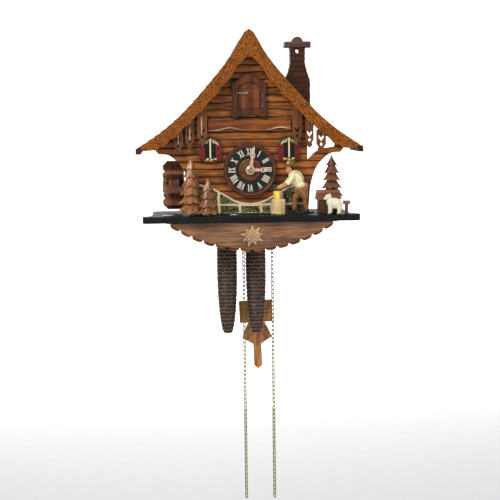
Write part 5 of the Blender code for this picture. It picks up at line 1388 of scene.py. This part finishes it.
def link_chain(form, x, y, top, low, pitch=6.2, wide=5.7, wire=0.72):
    """Oval links hooked into one another, every second one turned square to the last."""
    count = max(2, round((top - low) / pitch))
    step = (top - low) / count
    for k in range(count):
        centre = top - (k + 0.5) * step
        long = step / 2 + 2 * wire * 0.95
        path = []
        for i in range(14):
            angle = 2 * math.pi * i / 14
            a = (wide / 2 - wire) * math.cos(angle)
            b = (long - wire) * math.sin(angle)
            b = max(-long + wire, min(long - wire, b * 1.06))
            path.append((x + a * 0.7071, y + (a if k % 2 else -a) * 0.7071, centre + b))
        form.add(tube(path, wire, 6, True), 0, CHANCE.random())


def build_weights():
    for side, name in ((-1, "left"), (1, "right")):
        x, y = side * 21.6 - 12.5, -52.0
        shares = [(0.0, 0.40), (0.02, 0.62), (0.06, 0.85), (0.12, 0.95), (0.27, 0.985), (0.45, 0.97),
                  (0.62, 0.91), (0.77, 0.81),
                  (0.90, 0.66), (0.965, 0.52), (0.99, 0.42), (1.0, 0.28)]

        def radius(share):
            for (a, ra), (b, rb) in zip(shares, shares[1:]):
                if share <= b:
                    return CONE_RADIUS * (ra + (rb - ra) * (share - a) / (b - a))
            return CONE_RADIUS * shares[-1][1]
        rows, around = 27, 84
        scales = 14
        points, lips, rings = [], [], []
        for row in range(rows):
            for p in (0.0, 0.25, 0.55, 0.78, 0.94, 1.0):
                ring = []
                for i in range(around):
                    turn = 2 * math.pi * i / around
                    wave = abs(math.cos(turn * scales / 2 + (math.pi / 2 if row % 2 else 0)
                                        + 0.35 * math.sin(row * 1.9 + turn)))
                    wave = wave * (0.8 + 0.2 * math.sin(turn * 5 + row * 2.7))
                    share = (row + p) / rows
                    drop = 3.6 * (1 - wave) * (0.35 + 0.65 * p)
                    z = (-98.0 - 150.0 * share
                         - (1.6 - drop if share > 0.01 else 0) * (1 if share < 0.985 else 0))
                    lift = 1.7 * (p / 0.94 if p <= 0.94 else 0.25) * (0.45 + 0.55 * wave)
                    reach = min(radius(share) - 0.9 + lift, 15.65)
                    ring.append(len(points))
                    points.append((x + reach * math.cos(turn), y + reach * math.sin(turn), max(z, -247.9)))
                    lips.append(max(0.0, (p - 0.8) / 0.14) * (0.5 + 0.5 * wave) if p < 1 else 0.1)
                rings.append(ring)
        faces = [*joined(rings), tuple(rings[0]), tuple(rings[-1])]
        Form().add((points, faces), 0, 0.5, lips).make("cone_" + name, "weight_" + name, "cone",
                                                       ("weight_" + name,), 0.0, 42)
        hook = Form()
        hook.add(tube([(x - 1.6, y, -99.0), (x - 2.0, y, -96.4), (x, y, -94.0), (x + 2.0, y, -96.4),
                       (x + 1.6, y, -99.0)], 0.75, 8))
        hook.make("cone_hook_" + name, "weight_" + name, "brass")
        strand = Form()
        link_chain(strand, x, y, -29.0, -94.6)
        strand.make("cone_chain_" + name, "weight_" + name, "chain", (), 0.0, 60)

        free = side * 21.6 + 12.5
        chain = Form()
        link_chain(chain, free, y, -28.6, -504.4)
        made = chain.make("chain_links_" + name, "chain_" + name, "chain", ("chain_" + name,), 0.0, 60)
        line = [(free * MM, y * MM, (CHAIN_TOP - CHAIN_LENGTH * i / 60) * MM) for i in range(61)]
        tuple(line[0])


def build_pendulum():
    top = 60.0
    angle = math.radians(2)

    def hang(shape):
        turn = Matrix.Rotation(-angle, 4, "Y")
        pivot = Vector((0, 0, top))
        return [tuple(turn @ (Vector(p) - pivot) + pivot) for p in shape[0]], shape[1]
    dress("pendulum_rod", "dark", 0.2)
    block = Form()
    block.add(hang(prism([(-25.2, -236.4), (25.2, -236.4), (25.4, -233.0), (25.4, -204.0), (24.6, -202.4),
                          (-24.6, -202.4),
                          (-25.4, -204.0), (-25.4, -233.0)], -30.5, -25.9)))
    block.make("pendulum_block", "pendulum", "pendulum", ("pendulum_bob",), 0.8)
    trims = Form()
    for z in (-216.5, -222.0):
        trims.add(hang(slab((-22.0, -30.75, z - 0.5), (22.0, -30.3, z + 0.5))))
    trims.add(hang(prism([(-6.5, -202.6), (6.5, -202.6), (7.5, -209.0), (2.5, -213.5), (-2.5, -213.5),
                          (-7.5, -209.0)], -31.3, -30.3)))
    trims.make("pendulum_lines", "pendulum", "dark", (), 0.2)
    leaf = Form()
    fan = [(-12.5, -236.0), (-18.2, -247.5), (-23.0, -259.5), (-15.5, -264.3), (-7.8, -268.9),
           (0, -273.0), (7.8, -268.9),
           (15.5, -264.3), (23.0, -259.5), (18.2, -247.5), (12.5, -236.0)]
    points = [(0, -30.9, -236.4), (0, -25.8, -236.4)]
    for i, (u, v) in enumerate(fan):
        points.append((u, -31.4 if i % 2 == 0 else -29.6, v))
        points.append((u, -26.0, v))
    faces = []
    for i in range(len(fan) - 1):
        a, b = 2 + 2 * i, 4 + 2 * i
        faces += [(0, a, b), (1, a + 1, b + 1), (a, a + 1, b + 1, b)]
    faces += [(0, 1, 3, 2), (0, 1, len(points) - 1, len(points) - 2)]
    leaf.add(hang((points, faces)))
    leaf.make("pendulum_leaf", "pendulum", "pendulum", (), 0.25, 20)
    veins = Form()
    for u, v in fan[1:-1]:
        veins.add(hang(tube([(u * 0.25, -31.1, -236.6 + (v + 236.6) * 0.12),
                             (u * 0.92, -30.9, -236.6 + (v + 236.6) * 0.93)], 0.28, 5)))
    veins.make("pendulum_veins", "pendulum", "dark")
    tail = Form().add(hang(prism([(-6.3, -260.0), (6.3, -260.0), (6.3, -303.5), (0, -308.8),
                                  (-6.3, -303.5)], -28.3, -26.0)))
    tail.make("pendulum_tail", "pendulum", "pendulum", (), 0.5)


# ------------------------------------------------------------------ inside the case

def build_inside():
    for node, look, bevel in (("movement_front_plate", "brass", 0.2), ("movement_back_plate", "brass", 0.2),
                              ("escape_wheel", "brass", 0), ("hour_wheel", "brass", 0),
                              ("minute_arbor", "steel", 0),
                              ("anchor", "steel", 0.15), ("chain_wheel_left", "brass", 0),
                              ("chain_wheel_right", "brass", 0),
                              ("gong", "steel", 0), ("gong_hammer", "iron", 0.2),
                              ("bird_perch", "steel", 0.2)):
        dress(node, look, bevel, 40)
    for side, name in ((-1, "left"), (1, "right")):
        low, high = (51.0, 69.0) if side > 0 else (-69.0, -51.0)
        folds = Form()
        for k in range(7):
            z = 37.0 + 3.0 * k
            folds.add(slab((low + (0.9 if k % 2 else 0.1), -69.4, z),
                           (high - (0.9 if k % 2 else 0.1), -30.4, z + 2.8)))
        folds.add(slab((low, -70.0, -12.0), (high, -30.0, 36.8)))
        folds.add(slab((low + 3.0, -70.3, 30.0), (high - 3.0, -69.8, 34.0)))
        folds.make("bellows_" + name + "_made", "case", "bellows", ("bellows_" + name,), 0.4)
        dress("bellows_lid_" + name, "kid", 0.5)

    y = -77.0
    bird = Form()
    bird.add(egg((0, y, 100.5), (5.6, 9.3, 6.2), (-20, 0, 0)))
    bird.add(egg((0, y - 6.5, 107.4), (4.2, 4.5, 4.2)))
    bird.add(tube([(0, y + 5, 100), (0, y + 19, 95.0)], [3.0, 2.0], 10))
    bird.add(tube([(0, y, 97.0), (0, y, 91.4)], [1.4, 1.1], 8))
    bird.make("bird_made", "bird", "bird", ("bird",), 0.0, 60, 0.4)
    wings = Form()
    for side in (-1, 1):
        wings.add(egg((side * 5.2, y + 2.0, 101.4), (1.7, 7.4, 3.5), (-20, 0, side * 6)))
        for k in range(3):
            wings.add(egg((side * 5.4, y + 6.0 + k, 100.4 - k * 1.3), (1.2, 4.6, 1.1), (-24, 0, side * 4),
                          10, 6))
    wings.make("bird_wings", "bird", "bird")
    Form().add(tube([(0, y - 9.8, 107.3), (0, y - 12.2, 107.0), (0, y - 14.4, 106.4)], [1.5, 1.0, 0.3],
                    10)).make("bird_beak", "bird", "yellow")
    eyes = Form()
    for side in (-1, 1):
        eyes.add(egg((side * 3.3, y - 8.6, 108.6), (0.6, 0.7, 0.7), (0, 0, 0), 8, 6))
    eyes.make("bird_eyes", "bird", "eye")


# ------------------------------------------------------------------ light, PLATE_TOP and camera

def build_stage():
    world = bpy.data.worlds.new("studio")
    world.use_nodes = True
    back = world.node_tree.nodes["Background"]
    back.inputs["Color"].default_value = (1.0, 1.0, 1.0, 1.0)
    back.inputs["Strength"].default_value = 0.5
    bpy.context.scene.world = world
    for name, place, size, turn, glow in (("floor", (0, 0, -1.3), 8.0, 0, 0.0),
                                          ("backdrop", (0, 4.2, 0.2), 4.4, math.pi / 2, 1.2)):
        look = Look("studio_" + name, 0.9)
        look.done(look.shade((0.92, 0.92, 0.92), look.noise(60), 0.985, 1.015))
        look.shader.inputs["Emission Color"].default_value = (1, 1, 1, 1)
        look.shader.inputs["Emission Strength"].default_value = glow
        bpy.ops.mesh.primitive_plane_add(size=size, location=place, rotation=(turn, 0, 0))
        sheet = bpy.context.object
        sheet.name = name
        sheet.data.materials.append(look.material)
    for name, place, size, power in (("key", (-1.1, -1.5, 1.1), 0.7, 23),
                                     ("fill", (1.6, -1.4, 0.2), 1.2, 5),
                                     ("top", (0.0, -0.7, 1.9), 1.0, 4)):
        light = bpy.data.lights.new(name, "AREA")
        light.energy, light.size = power, size
        lamp = bpy.data.objects.new(name, light)
        lamp.location = place
        lamp.rotation_euler = (Vector((0, -0.08, 0.0)) - Vector(place)).to_track_quat("-Z", "Y").to_euler()
        COLLECTION.objects.link(lamp)

    camera = bpy.data.cameras.new("camera")
    camera.lens, camera.sensor_width, camera.clip_start = 93.0, 36.0, 0.05
    view = bpy.data.objects.new("camera", camera)
    aim = Vector((-0.0014, -0.095, -0.118))
    azimuth, elevation, far = math.radians(-3), math.radians(6), 1.9
    back_way = Vector((math.sin(azimuth) * math.cos(elevation),
                       -math.cos(azimuth) * math.cos(elevation), math.sin(elevation)))
    view.location = aim + back_way * far
    turn = ((-back_way).to_track_quat("-Z", "Y").to_matrix().to_4x4()
            @ Matrix.Rotation(math.radians(-0.73), 4, "Z"))
    view.rotation_euler = turn.to_euler()
    COLLECTION.objects.link(view)
    bpy.context.scene.camera = view
    settings = bpy.context.scene.view_settings
    settings.view_transform = "Standard"
    settings.look = "None"


build_roof()
build_chimney()
build_facade()
build_windows()
build_door()
build_dial()
build_wall()
build_base()
build_trees()
build_figure()
build_yard()
build_weights()
build_pendulum()
build_inside()
build_stage()

bpy.context.view_layer.update()
